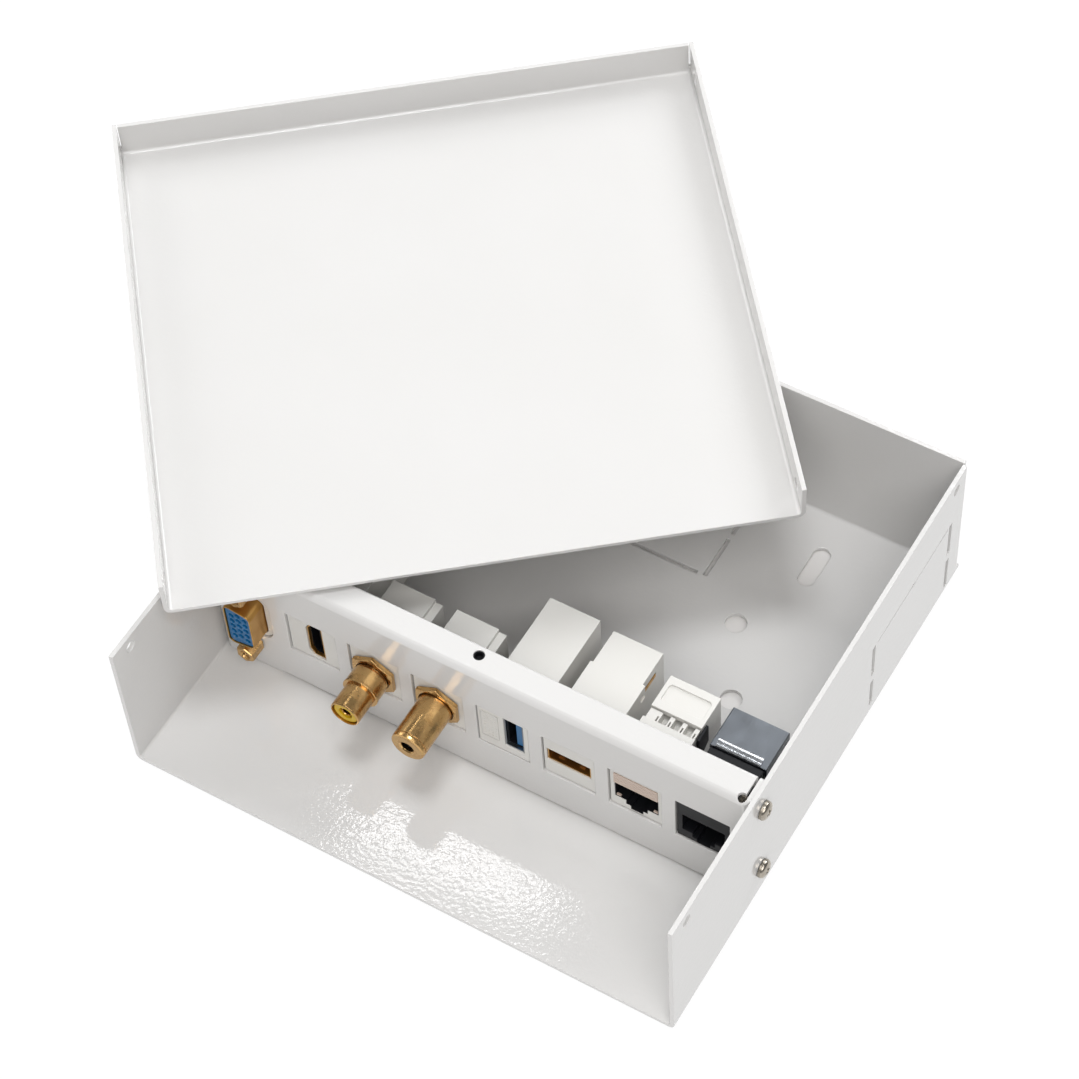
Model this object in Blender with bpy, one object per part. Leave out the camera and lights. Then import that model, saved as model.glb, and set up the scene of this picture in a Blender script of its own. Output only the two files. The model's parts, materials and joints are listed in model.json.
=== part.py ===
"""Sheet-steel AV connection box, standing on its underside with its lid laid upside down on the walls.

The open-fronted base tray carries an upright port panel with eight modules: a 15-way D-sub socket, a
video coupler, a phono socket, an audio jack, a data coupler, a slot coupler and two network jacks.
Meshes are drawn in millimetres and turned to metres when their object is made.
The origin is the middle of the base's underside: +X to the right, +Y to the rear wall, +Z up.
"""

import math

import bmesh
import bpy
from mathutils import Matrix, Vector

MM = 0.001

# Base tray
BASE_WIDTH = 160.0
BASE_DEPTH = 156.0
BASE_HEIGHT = 48.0
SHEET = 1.2
BEND_OUTER = 1.9
BEND_INNER = BEND_OUTER - SHEET
SEAM = 0.35
CORNER_RELIEF = 1.0
CORNER_LIP = 2.6
GAP = 0.3

# Lid tray, which slips over the base walls when the box is closed
LID_CLEARANCE = 0.3
LID_WIDTH = BASE_WIDTH + 2 * (LID_CLEARANCE + SHEET)
LID_DEPTH = BASE_DEPTH + LID_CLEARANCE + SHEET
LID_FLANGE = 11.5
LID_BEND_OUTER = 2.2
LID_BEND_INNER = LID_BEND_OUTER - SHEET
LID_TURN = math.radians(39.3)
LID_NEAR_CORNER = (5.3, 17.2)

# Lid screw holes, from the front edge and up from the underside
LID_HOLE_RADIUS = 1.6
LID_HOLE_FRONT = 7.0
LID_HOLE_REAR = 149.0
LID_HOLE_HEIGHT = 44.0

# Port panel
PANEL_SETBACK = 40.0
PANEL_TOP = 46.6
PANEL_BOTTOM = SHEET + GAP
PANEL_BEND = 2.0
PANEL_FLANGE = 8.6
PANEL_LIP = 4.0
PANEL_SCREW_Y = 4.6
PANEL_SCREW_HEIGHTS = {"lower": 11.0, "upper": 39.2}
SCREW_SHANK_RADIUS = 1.4
SCREW_HEAD_RADIUS = 2.6
SCREW_HEAD_HEIGHT = 1.7

# Row of eight ports on the standard module pitch
PORT_PITCH = 19.05
PORT_ROW_OFFSET = -0.8
PORT_COUNT = 8
PORT_HEIGHT = 24.2
WINDOW_WIDTH = 15.2
WINDOW_HEIGHT = 16.2

# Keystone module bodies
NOSE_WIDTH = WINDOW_WIDTH - 2 * GAP
NOSE_HEIGHT = WINDOW_HEIGHT - 2 * GAP
COLLAR_WIDTH = 16.4
COLLAR_HEIGHT = 18.4
COLLAR_START = SHEET + GAP
COLLAR_END = 4.6
BODY_WIDTH = 14.8
BODY_TOP = 8.3
BODY_BOTTOM = -8.1
FACE_SETBACK = 0.5
COUPLER_DEPTH = 37.0
SHORT_DEPTH = 22.4
NUT_THICKNESS = 1.4
JACK_DEPTH = 17.6

FRONT_Y = -BASE_DEPTH / 2
LEFT_X = -BASE_WIDTH / 2
PANEL_Y = FRONT_Y + PANEL_SETBACK


# ---------------------------------------------------------------- scene and materials


def clear_scene():
    for obj in list(bpy.data.objects):
        bpy.data.objects.remove(obj, do_unlink=True)


def make_material(name, colour, roughness, metallic=0.0):
    material = bpy.data.materials.new(name)
    material.use_nodes = True
    shader = material.node_tree.nodes["Principled BSDF"]
    shader.inputs["Base Color"].default_value = (*colour, 1.0)
    shader.inputs["Roughness"].default_value = roughness
    shader.inputs["Metallic"].default_value = metallic
    material.diffuse_color = (*colour, 1.0)
    return material


def make_materials():
    return {
        "powder_coat": make_material("powder_coat", (0.83, 0.82, 0.81), 0.42),
        "white_plastic": make_material("white_plastic", (0.84, 0.83, 0.80), 0.45),
        "gold": make_material("gold", (0.78, 0.52, 0.20), 0.25, 1.0),
        "nickel": make_material("nickel", (0.62, 0.60, 0.57), 0.28, 1.0),
        "tinned_steel": make_material("tinned_steel", (0.50, 0.52, 0.54), 0.30, 1.0),
        "black_plastic": make_material("black_plastic", (0.02, 0.02, 0.022), 0.40),
        "blue_plastic": make_material("blue_plastic", (0.02, 0.22, 0.45), 0.40),
        "yellow_plastic": make_material("yellow_plastic", (0.72, 0.48, 0.04), 0.40),
    }


# ---------------------------------------------------------------- mesh helpers, in millimetres


def add_box(bm, low, high):
    size = [b - a for a, b in zip(low, high)]
    centre = [(a + b) / 2 for a, b in zip(low, high)]
    matrix = Matrix.Translation(centre) @ Matrix.Diagonal((*size, 1.0))
    return bmesh.ops.create_cube(bm, size=1.0, matrix=matrix)["verts"]


def add_rings(bm, rings):
    """A closed body through rings of points, with a flat cap on the first and the last ring."""
    loops = [[bm.verts.new(point) for point in ring] for ring in rings]
    count = len(loops[0])
    bm.faces.new(list(reversed(loops[0])))
    bm.faces.new(loops[-1])
    for first, second in zip(loops, loops[1:]):
        for i in range(count):
            j = (i + 1) % count
            bm.faces.new((first[i], first[j], second[j], second[i]))


def add_tube_rings(bm, rings):
    """A closed body whose last ring joins its first, such as a sleeve or a turned part with a bore."""
    loops = [[bm.verts.new(point) for point in ring] for ring in rings]
    count = len(loops[0])
    for first, second in zip(loops, loops[1:] + loops[:1]):
        for i in range(count):
            j = (i + 1) % count
            bm.faces.new((first[i], first[j], second[j], second[i]))


def circle(radius, count, start=0.0):
    angles = [start + 2 * math.pi * i / count for i in range(count)]
    return [(radius * math.cos(a), radius * math.sin(a)) for a in angles]


def rectangle(left, right, bottom, top):
    return [(left, bottom), (right, bottom), (right, top), (left, top)]


def centred_rectangle(width, height):
    return rectangle(-width / 2, width / 2, -height / 2, height / 2)


def ring_y(outline, y, centre=(0.0, 0.0)):
    """An outline in X and Z, placed at depth y."""
    return [(centre[0] + x, y, centre[1] + z) for x, z in outline]


def add_prism_y(bm, outline, start, end, centre=(0.0, 0.0)):
    add_rings(bm, [ring_y(outline, start, centre), ring_y(outline, end, centre)])


def add_cylinder(bm, axis, radius, start, end, centre, count=24):
    """A cylinder along axis 0, 1 or 2, from start to end, centred on the other two coordinates."""
    others = [i for i in range(3) if i != axis]
    rings = []
    for along in (start, end):
        ring = []
        for a, b in circle(radius, count):
            point = [0.0, 0.0, 0.0]
            point[axis] = along
            point[others[0]] = centre[0] + a
            point[others[1]] = centre[1] + b
            ring.append(point)
        rings.append(ring)
    add_rings(bm, rings)


def add_turned(bm, profile, count=32, bored=False):
    """A turned part on the Y axis, from (y, radius) pairs; a bored one is a closed profile."""
    rings = [ring_y(circle(radius, count), y) for y, radius in profile]
    if bored:
        add_tube_rings(bm, rings)
    else:
        add_rings(bm, rings)


def round_edges(bm, wanted, radius, segments=4):
    edges = [edge for edge in bm.edges if wanted(*(vert.co for vert in edge.verts))]
    bmesh.ops.bevel(
        bm, geom=edges, offset=radius, offset_type="OFFSET", segments=segments, profile=0.5, affect="EDGES"
    )


def on_plane(first, second, axis, value, tolerance=1e-4):
    return abs(first[axis] - value) < tolerance and abs(second[axis] - value) < tolerance


def near_edge(first, second, conditions):
    """True when both ends of an edge lie on every given (axis, value) plane."""
    return all(on_plane(first, second, axis, value) for axis, value in conditions)


# ---------------------------------------------------------------- objects


def make_object(name, bm, material, parent=None, smooth_angle=None):
    bmesh.ops.recalc_face_normals(bm, faces=bm.faces)
    bmesh.ops.scale(bm, vec=(MM, MM, MM), verts=bm.verts)
    mesh = bpy.data.meshes.new(name)
    bm.to_mesh(mesh)
    bm.free()
    if smooth_angle is not None:
        mesh.shade_smooth()
        mesh.set_sharp_from_angle(angle=math.radians(smooth_angle))
    obj = bpy.data.objects.new(name, mesh)
    bpy.context.scene.collection.objects.link(obj)
    if material is not None:
        mesh.materials.append(material)
    obj.parent = parent
    return obj


def make_empty(name, location):
    empty = bpy.data.objects.new(name, None)
    empty.location = Vector(location) * MM
    empty.empty_display_size = 5 * MM
    bpy.context.scene.collection.objects.link(empty)
    return empty


def combine(target, operation, helper_bm, name):
    """A Boolean with a hidden helper; the helper shares the target's parent and place."""
    helper = make_object(name, helper_bm, None, parent=target.parent)
    helper.hide_render = True
    helper.display_type = "WIRE"
    helper.location = target.location
    helper.rotation_euler = target.rotation_euler
    modifier = target.modifiers.new(name, "BOOLEAN")
    modifier.operation = operation
    modifier.solver = "EXACT"
    modifier.use_self = True
    modifier.object = helper
    return helper


# ---------------------------------------------------------------- base tray


def bent_tray_outer(bm, low, high, bottom, rear, radius):
    """A block whose bottom edges at the left, right and rear are rounded like the outside of a bend."""
    add_box(bm, low, high)
    round_edges(
        bm,
        lambda a, b: on_plane(a, b, 2, bottom)
        and (on_plane(a, b, 0, low[0]) or on_plane(a, b, 0, high[0]) or on_plane(a, b, 1, rear)),
        radius,
    )


def tray_hollow(bm, low, high, radius):
    bent_tray_outer(bm, low, high, low[2], high[1], radius)


def add_wall_knockout(bm, side):
    """Break-out plate for a cable duct: two pairs of slots and a scored line between them."""
    front, rear, top = FRONT_Y + 104.2, FRONT_Y + 147.4, 31.0
    slot, reach = 1.7, 2.0
    inner = side * (BASE_WIDTH / 2 - reach)
    outer = side * (BASE_WIDTH / 2 + 1.0)
    x_low, x_high = min(inner, outer), max(inner, outer)
    for y, spans in ((front, ((4.4, 15.2), (18.2, top))), (rear, ((2.6, 15.2), (18.0, top)))):
        for bottom, end in spans:
            add_box(bm, (x_low, y - slot / 2, bottom), (x_high, y + slot / 2, end))
    score_depth, score_width = 0.3, 0.4
    score_inner = side * (BASE_WIDTH / 2 - score_depth)
    x_low, x_high = min(score_inner, outer), max(score_inner, outer)
    add_box(bm, (x_low, front + 1.8, top - score_width), (x_high, rear - 1.8, top))


def add_floor_knockout(bm):
    left, right, front, rear = -21.9, 21.9, FRONT_Y + 120.9, FRONT_Y + 150.0
    slot, bridge = 1.2, 1.0
    low, high = -1.0, SHEET + 1.0
    middle = (front + rear) / 2
    for y in (front, rear):
        add_box(bm, (left + bridge, y - slot / 2, low), (right - bridge - slot, y + slot / 2, high))
    for x in (left, right):
        add_box(bm, (x - slot / 2, front, low), (x + slot / 2, middle - bridge, high))
        add_box(bm, (x - slot / 2, middle + bridge, low), (x + slot / 2, rear, high))


def add_obround(bm, centre, width, length, low, high, count=12):
    """A slot with round ends, long along Y."""
    half = (length - width) / 2
    outline = []
    for i in range(count + 1):
        angle = math.pi * i / count
        outline.append((width / 2 * math.cos(angle), half + width / 2 * math.sin(angle)))
    for i in range(count + 1):
        angle = math.pi + math.pi * i / count
        outline.append((width / 2 * math.cos(angle), -half + width / 2 * math.sin(angle)))
    add_rings(bm, [[(centre[0] + x, centre[1] + y, z) for x, y in outline] for z in (low, high)])


def add_floor_holes(bm):
    low, high = -1.0, SHEET + 1.0
    for x, y in ((36.6, 111.4), (46.9, 89.8), (-36.6, 111.4), (-46.9, 89.8)):
        add_cylinder(bm, 2, 3.0, low, high, (x, FRONT_Y + y))
    for side in (-1, 1):
        add_obround(bm, (side * 46.3, FRONT_Y + 137.4), 5.0, 13.6, low, high)


def add_wall_holes(bm, radius, heights_and_depths, reach):
    for side in (-1, 1):
        inner = side * (BASE_WIDTH / 2 - reach)
        outer = side * (BASE_WIDTH / 2 + 1.0)
        for depth, height in heights_and_depths:
            add_cylinder(bm, 0, radius, min(inner, outer), max(inner, outer), (FRONT_Y + depth, height))


def make_base_tray(materials):
    bm = bmesh.new()
    half = BASE_WIDTH / 2
    rear = BASE_DEPTH / 2
    bent_tray_outer(bm, (-half, FRONT_Y, 0.0), (half, rear, BASE_HEIGHT), 0.0, rear, BEND_OUTER)
    tray = make_object("base_tray", bm, materials["powder_coat"], smooth_angle=40)

    hollow = bmesh.new()
    low = (-half + SHEET, FRONT_Y - 5.0, SHEET)
    high = (half - SHEET, rear - SHEET, BASE_HEIGHT + 5.0)
    tray_hollow(hollow, low, high, BEND_INNER)
    combine(tray, "DIFFERENCE", hollow, "cut_base_hollow")

    openings = bmesh.new()
    for side in (-1, 1):
        add_wall_knockout(openings, side)
    add_floor_knockout(openings)
    add_floor_holes(openings)
    lid_holes = ((LID_HOLE_FRONT, LID_HOLE_HEIGHT), (LID_HOLE_REAR, LID_HOLE_HEIGHT))
    add_wall_holes(openings, LID_HOLE_RADIUS, lid_holes, 3.0)
    screws = [(PANEL_SETBACK + PANEL_SCREW_Y, height) for height in PANEL_SCREW_HEIGHTS.values()]
    add_wall_holes(openings, SCREW_SHANK_RADIUS + GAP, screws, 3.0)
    for side in (-1, 1):
        # The side wall stops short of the rear wall, whose end is set in; the floor's corner stays as a lip.
        for reach, y_low, y_high in (
            (SHEET + 0.1, rear - SHEET - SEAM, rear - SHEET),
            (CORNER_RELIEF, rear - SHEET - SEAM, rear + 1.0),
        ):
            inner, outer = side * (half - reach), side * (half + 1.0)
            low = (min(inner, outer), y_low, CORNER_LIP)
            add_box(openings, low, (max(inner, outer), y_high, BASE_HEIGHT + 1.0))
    combine(tray, "DIFFERENCE", openings, "cut_base_openings")
    return tray


# ---------------------------------------------------------------- lid


def make_lid(materials):
    """Shallow tray with flanges at the left, right and far side; here it lies upside down on the walls."""
    place = make_empty("lid_place", (LEFT_X + LID_NEAR_CORNER[0], FRONT_Y + LID_NEAR_CORNER[1], BASE_HEIGHT + GAP))
    place.rotation_euler = (0.0, 0.0, LID_TURN)
    bm = bmesh.new()
    bent_tray_outer(bm, (0.0, 0.0, 0.0), (LID_WIDTH, LID_DEPTH, LID_FLANGE), 0.0, LID_DEPTH, LID_BEND_OUTER)
    lid = make_object("lid_tray", bm, materials["powder_coat"], parent=place, smooth_angle=40)

    hollow = bmesh.new()
    low = (SHEET, -5.0, SHEET)
    high = (LID_WIDTH - SHEET, LID_DEPTH - SHEET, LID_FLANGE + 5.0)
    tray_hollow(hollow, low, high, LID_BEND_INNER)
    combine(lid, "DIFFERENCE", hollow, "cut_lid_hollow")

    details = bmesh.new()
    hole_height = SHEET + BASE_HEIGHT - LID_HOLE_HEIGHT
    for start, end in ((-1.0, 3.0), (LID_WIDTH - 3.0, LID_WIDTH + 1.0)):
        for depth in (LID_HOLE_FRONT, LID_HOLE_REAR):
            add_cylinder(details, 0, LID_HOLE_RADIUS, start, end, (depth, hole_height))
    for start, end in ((SHEET, SHEET + SEAM), (LID_WIDTH - SHEET - SEAM, LID_WIDTH - SHEET)):
        add_box(details, (start, LID_DEPTH - SHEET - 0.5, 3.0), (end, LID_DEPTH + 1.0, LID_FLANGE + 1.0))
    combine(lid, "DIFFERENCE", details, "cut_lid_details")
    return lid


# ---------------------------------------------------------------- port panel and its screws


def port_x(index):
    return (index - (PORT_COUNT - 1) / 2) * PORT_PITCH + PORT_ROW_OFFSET


def make_port_place(name, index):
    """The middle of a window on the panel's front face: X right, Y into the box, Z up."""
    return make_empty(name, (port_x(index), PANEL_Y, PORT_HEIGHT))


def rounded_polygon(corners, radius, count=5):
    """The corners, anticlockwise, each replaced by an arc."""
    outline = []
    for i, point in enumerate(corners):
        here = Vector(point)
        before = (Vector(corners[i - 1]) - here).normalized()
        after = (Vector(corners[(i + 1) % len(corners)]) - here).normalized()
        half = before.angle(after) / 2
        centre = here + (before + after).normalized() * radius / math.sin(half)
        first = here + before * radius / math.tan(half) - centre
        sweep = math.pi - 2 * half
        for step in range(count):
            angle = sweep * step / (count - 1)
            turned = Matrix.Rotation(angle, 2) @ first
            outline.append(tuple(centre + turned))
    return outline


DSUB_SHELL_LENGTH = 16.8
DSUB_SHELL_WIDTH = 8.4
DSUB_CORNER = 1.9
DSUB_SLANT = math.radians(10)
DSUB_SCREW_SPACING = 25.0
DSUB_BEZEL_MARGIN = 2.0


def dsub_outline(grow):
    """D shape with its long sides upright and the longer one at the left, grown by a margin all round."""
    width = DSUB_SHELL_WIDTH + 2 * grow
    length = DSUB_SHELL_LENGTH + 2 * grow
    short = length / 2 - width * math.tan(DSUB_SLANT)
    corners = [(-width / 2, -length / 2), (width / 2, -short), (width / 2, short), (-width / 2, length / 2)]
    return rounded_polygon(corners, DSUB_CORNER + grow)


def make_port_panel(materials):
    left = LEFT_X + SHEET + GAP
    right = -left
    front, rear = PANEL_Y, PANEL_Y + PANEL_FLANGE
    bm = bmesh.new()
    add_box(bm, (left, front, PANEL_BOTTOM), (right, rear, PANEL_TOP))
    round_edges(
        bm,
        lambda a, b: near_edge(a, b, ((1, front), (2, PANEL_TOP)))
        or near_edge(a, b, ((1, front), (0, left)))
        or near_edge(a, b, ((1, front), (0, right))),
        PANEL_BEND,
    )
    round_edges(bm, lambda a, b: near_edge(a, b, ((1, rear), (2, PANEL_TOP))), 1.0, 3)
    panel = make_object("port_panel", bm, materials["powder_coat"], smooth_angle=40)

    hollow = bmesh.new()
    hollow_low = (left + SHEET, front + SHEET, PANEL_BOTTOM - 5.0)
    hollow_high = (right - SHEET, rear - SHEET, PANEL_TOP - SHEET)
    add_box(hollow, hollow_low, hollow_high)
    round_edges(
        hollow,
        lambda a, b: near_edge(a, b, ((1, hollow_low[1]), (2, hollow_high[2])))
        or near_edge(a, b, ((1, hollow_low[1]), (0, hollow_low[0])))
        or near_edge(a, b, ((1, hollow_low[1]), (0, hollow_high[0]))),
        PANEL_BEND - SHEET,
        3,
    )
    combine(panel, "DIFFERENCE", hollow, "cut_panel_hollow")

    rear_gap = bmesh.new()
    add_box(
        rear_gap,
        (left + SHEET, rear - SHEET - 1.0, PANEL_BOTTOM - 5.0),
        (right - SHEET, rear + 5.0, PANEL_TOP - PANEL_LIP),
    )
    combine(panel, "DIFFERENCE", rear_gap, "cut_panel_rear")

    openings = bmesh.new()
    for index in range(1, PORT_COUNT):
        x = port_x(index)
        window = centred_rectangle(WINDOW_WIDTH, WINDOW_HEIGHT)
        add_prism_y(openings, window, front - 1.0, front + SHEET + 1.0, (x, PORT_HEIGHT))
    dsub_centre = (port_x(0), PORT_HEIGHT)
    add_prism_y(openings, dsub_outline(DSUB_BEZEL_MARGIN), front - 1.0, front + SHEET + 1.0, dsub_centre)
    for side in (-1, 1):
        height = PORT_HEIGHT + side * DSUB_SCREW_SPACING / 2
        add_cylinder(openings, 1, 1.6, front - 1.0, front + SHEET + 1.0, (port_x(0), height), 16)
    add_cylinder(openings, 2, 1.5, PANEL_TOP - 3.0, PANEL_TOP + 1.0, (0.0, front + 5.6), 20)
    slit = 0.7
    for side in (-1, 1):
        near, far = side * (right - SHEET - slit), side * (right - SHEET)
        low = (min(near, far), front + 1.2, PANEL_TOP - PANEL_LIP - 1.0)
        high = (max(near, far), rear + 1.0, PANEL_TOP + 1.0)
        add_box(openings, low, high)
        for height in PANEL_SCREW_HEIGHTS.values():
            inner, outer = side * (right - 3.0), side * (right + 1.0)
            place = (front + PANEL_SCREW_Y, height)
            add_cylinder(openings, 0, SCREW_SHANK_RADIUS + 0.2, min(inner, outer), max(inner, outer), place, 16)
    combine(panel, "DIFFERENCE", openings, "cut_panel_openings")

    reliefs = bmesh.new()
    for side in (-1, 1):
        place = (side * (right - SHEET - slit - 0.5), front + 1.5)
        add_cylinder(reliefs, 2, 1.2, PANEL_TOP - 6.0, PANEL_TOP + 1.0, place, 16)
    step_x, step = LEFT_X + 19.6, 0.8
    add_box(reliefs, (step_x, front - 1.0, PANEL_BOTTOM - 1.0), (right - 4.0, front + 2.0, PANEL_BOTTOM + step))
    combine(panel, "DIFFERENCE", reliefs, "cut_panel_reliefs")
    return panel


def make_panel_screw(name, side, height, materials):
    """Pan-head machine screw with a cross recess; its head lies against the outside of the wall."""
    place = make_empty(
        f"{name}_place", (side * (BASE_WIDTH / 2 + 0.15), PANEL_Y + PANEL_SCREW_Y, height)
    )
    # The screw is turned on the local Y axis, with its head towards -Y, and then swung to face outwards.
    place.rotation_euler = (0.0, 0.0, side * math.pi / 2)
    bm = bmesh.new()
    head = SCREW_HEAD_HEIGHT
    profile = (
        (6.4, 0.9),
        (6.0, SCREW_SHANK_RADIUS),
        (0.0, SCREW_SHANK_RADIUS),
        (0.0, SCREW_HEAD_RADIUS),
        (-head * 0.45, SCREW_HEAD_RADIUS),
        (-head * 0.8, SCREW_HEAD_RADIUS * 0.82),
        (-head, SCREW_HEAD_RADIUS * 0.5),
    )
    add_turned(bm, profile, 24)
    screw = make_object(name, bm, materials["nickel"], parent=place, smooth_angle=40)
    recess = bmesh.new()
    arm, blade = 1.35, 0.32
    cross = [(arm, -blade), (arm, blade), (blade, blade), (blade, arm), (-blade, arm), (-blade, blade)]
    cross += [(-x, -y) for x, y in cross]
    add_prism_y(recess, cross, -head - 1.0, -head * 0.35)
    combine(screw, "DIFFERENCE", recess, f"cut_{name}")
    return screw


# ---------------------------------------------------------------- shared module shapes


def stepped_block(bm, sections):
    """A block along Y from (y, left, right, bottom, top) sections; two sections at one y make a step."""
    add_rings(bm, [ring_y(rectangle(*limits), y) for y, *limits in sections])


def keystone_sections(depth, setback, body_width=BODY_WIDTH, body_top=BODY_TOP):
    """Nose in the window, collar that grips the back of the panel, and the body behind it."""
    nose, collar, body = NOSE_WIDTH / 2, COLLAR_WIDTH / 2, body_width / 2
    nose_top, collar_top = NOSE_HEIGHT / 2, COLLAR_HEIGHT / 2
    return [
        (setback, -nose, nose, -nose_top, nose_top),
        (COLLAR_START, -nose, nose, -nose_top, nose_top),
        (COLLAR_START, -collar, collar, -collar_top, collar_top),
        (COLLAR_END, -collar, collar, -collar_top, collar_top),
        (COLLAR_END, -body, body, BODY_BOTTOM, body_top),
        (depth, -body, body, BODY_BOTTOM, body_top),
    ]


def make_housing(name, place, material, sections, bores):
    """A module housing with bores: each bore is an outline, its start, its end and its centre."""
    bm = bmesh.new()
    stepped_block(bm, sections)
    housing = make_object(name, bm, material, parent=place)
    for number, (outline, start, end, centre) in enumerate(bores):
        bore = bmesh.new()
        add_prism_y(bore, outline, start, end, centre)
        combine(housing, "DIFFERENCE", bore, f"cut_{name}_{number}")
    return housing


def make_sleeve(name, place, material, outer, inner, start, end, centre=(0.0, 0.0)):
    """A thin open-ended metal sleeve between two outlines."""
    bm = bmesh.new()
    rings = [
        ring_y(outer, start, centre),
        ring_y(outer, end, centre),
        ring_y(inner, end, centre),
        ring_y(inner, start, centre),
    ]
    add_tube_rings(bm, rings)
    return make_object(name, bm, material, parent=place)


def make_hex_nut(name, place, material, across_flats, bore, start, end, centre):
    bm = bmesh.new()
    count = 24
    corner = across_flats / math.sqrt(3)
    hexagon = []
    for i in range(count):
        side_angle = math.radians(i * 360 / count - 90) % math.radians(60) - math.radians(30)
        radius = corner * math.cos(math.radians(30)) / math.cos(side_angle)
        angle = math.radians(i * 360 / count)
        hexagon.append((radius * math.cos(angle), radius * math.sin(angle)))
    round_hole = circle(bore, count)
    chamfer = [(x * 0.93, z * 0.93) for x, z in hexagon]
    rings = [
        ring_y(chamfer, start, centre),
        ring_y(hexagon, start + 0.4, centre),
        ring_y(hexagon, end, centre),
        ring_y(round_hole, end, centre),
        ring_y(round_hole, start, centre),
    ]
    add_tube_rings(bm, rings)
    return make_object(name, bm, material, parent=place)


# ---------------------------------------------------------------- port 0: 15-way D-sub socket


def make_dsub(materials):
    place = make_port_place("dsub_place", 0)
    shell_front, insert_front = -5.6, -5.2
    wall = 0.45
    plate_start = SHEET + GAP
    flange_start = plate_start + 1.2 + GAP
    flange_end = flange_start + 0.8

    # White mounting plate behind the panel, with a raised boss that fills the D-shaped window.
    bm = bmesh.new()
    add_prism_y(bm, centred_rectangle(14.6, 34.0), plate_start, plate_start + 1.2)
    bezel = make_object("dsub_bezel", bm, materials["white_plastic"], parent=place)
    boss = bmesh.new()
    add_prism_y(boss, dsub_outline(DSUB_BEZEL_MARGIN - GAP), 0.5, plate_start + 0.6)
    combine(bezel, "UNION", boss, "add_dsub_boss")
    bores = bmesh.new()
    add_prism_y(bores, dsub_outline(GAP), -1.0, plate_start + 2.0)
    for side in (-1, 1):
        add_cylinder(bores, 1, 1.8, -1.0, plate_start + 2.0, (0.0, side * DSUB_SCREW_SPACING / 2), 16)
    combine(bezel, "DIFFERENCE", bores, "cut_dsub_bezel")

    bm = bmesh.new()
    add_prism_y(bm, dsub_outline(0.0), shell_front, flange_end)
    shell = make_object("dsub_shell", bm, materials["gold"], parent=place)
    flange = bmesh.new()
    add_prism_y(flange, centred_rectangle(12.4, 30.8), flange_start, flange_end)
    combine(shell, "UNION", flange, "add_dsub_flange")
    bores = bmesh.new()
    add_prism_y(bores, dsub_outline(-wall), shell_front - 1.0, flange_end + 1.0)
    for side in (-1, 1):
        centre = (0.0, side * DSUB_SCREW_SPACING / 2)
        add_cylinder(bores, 1, 1.8, flange_start - 1.0, flange_end + 1.0, centre, 16)
    combine(shell, "DIFFERENCE", bores, "cut_dsub_shell")

    bm = bmesh.new()
    add_prism_y(bm, dsub_outline(-wall - 0.15), insert_front, flange_end + 2.0)
    block = make_object("dsub_insert", bm, materials["blue_plastic"], parent=place)
    holes = bmesh.new()
    for row in range(3):
        stagger = 0.9 if row == 1 else 0.0
        for pin in range(5):
            x = (1 - row) * -2.0
            z = (pin - 2) * 2.29 + stagger - 0.3
            add_cylinder(holes, 1, 0.6, insert_front - 1.0, insert_front + 4.0, (x, z), 8)
    combine(block, "DIFFERENCE", holes, "cut_dsub_insert")

    for side, level in ((-1, "lower"), (1, "upper")):
        bm = bmesh.new()
        centre = (0.0, side * DSUB_SCREW_SPACING / 2)
        hexagon = circle(5.0 / math.sqrt(3), 6, math.radians(30))
        shank = circle(1.45, 6, math.radians(30))
        rings = [
            ring_y([(x * 0.9, z * 0.9) for x, z in hexagon], shell_front + 0.1, centre),
            ring_y(hexagon, shell_front + 0.6, centre),
            ring_y(hexagon, -0.3, centre),
            ring_y(shank, -0.3, centre),
            ring_y(shank, 10.0, centre),
        ]
        add_rings(bm, rings)
        standoff = make_object(f"dsub_standoff_{level}", bm, materials["gold"], parent=place)
        bore = bmesh.new()
        add_cylinder(bore, 1, 1.3, shell_front - 1.0, -0.8, centre, 16)
        combine(standoff, "DIFFERENCE", bore, f"cut_dsub_standoff_{level}")

    bm = bmesh.new()
    start = flange_end + 2.3
    stepped_block(
        bm,
        [
            (flange_end + GAP, -4.9, 4.9, -9.4, 9.4),
            (start + 5.0, -4.9, 4.9, -9.4, 9.4),
            (start + 5.0, -4.0, 4.0, -7.8, 7.8),
            (start + 9.0, -4.0, 4.0, -7.8, 7.8),
        ],
    )
    rear = make_object("dsub_rear_housing", bm, materials["black_plastic"], parent=place)
    pocket = bmesh.new()
    add_prism_y(pocket, centred_rectangle(8.0, 16.4), flange_end - 1.0, flange_end + 2.0 + GAP)
    combine(rear, "DIFFERENCE", pocket, "cut_dsub_rear")


# ---------------------------------------------------------------- port 1: video coupler


def chamfered_port(length, width, chamfer):
    """Upright slot outline whose two left corners are cut off."""
    half_length, half_width = length / 2, width / 2
    return [
        (half_width, -half_length),
        (half_width, half_length),
        (-half_width + chamfer * 0.6, half_length),
        (-half_width, half_length - chamfer),
        (-half_width, -half_length + chamfer),
        (-half_width + chamfer * 0.6, -half_length),
    ]


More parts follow.
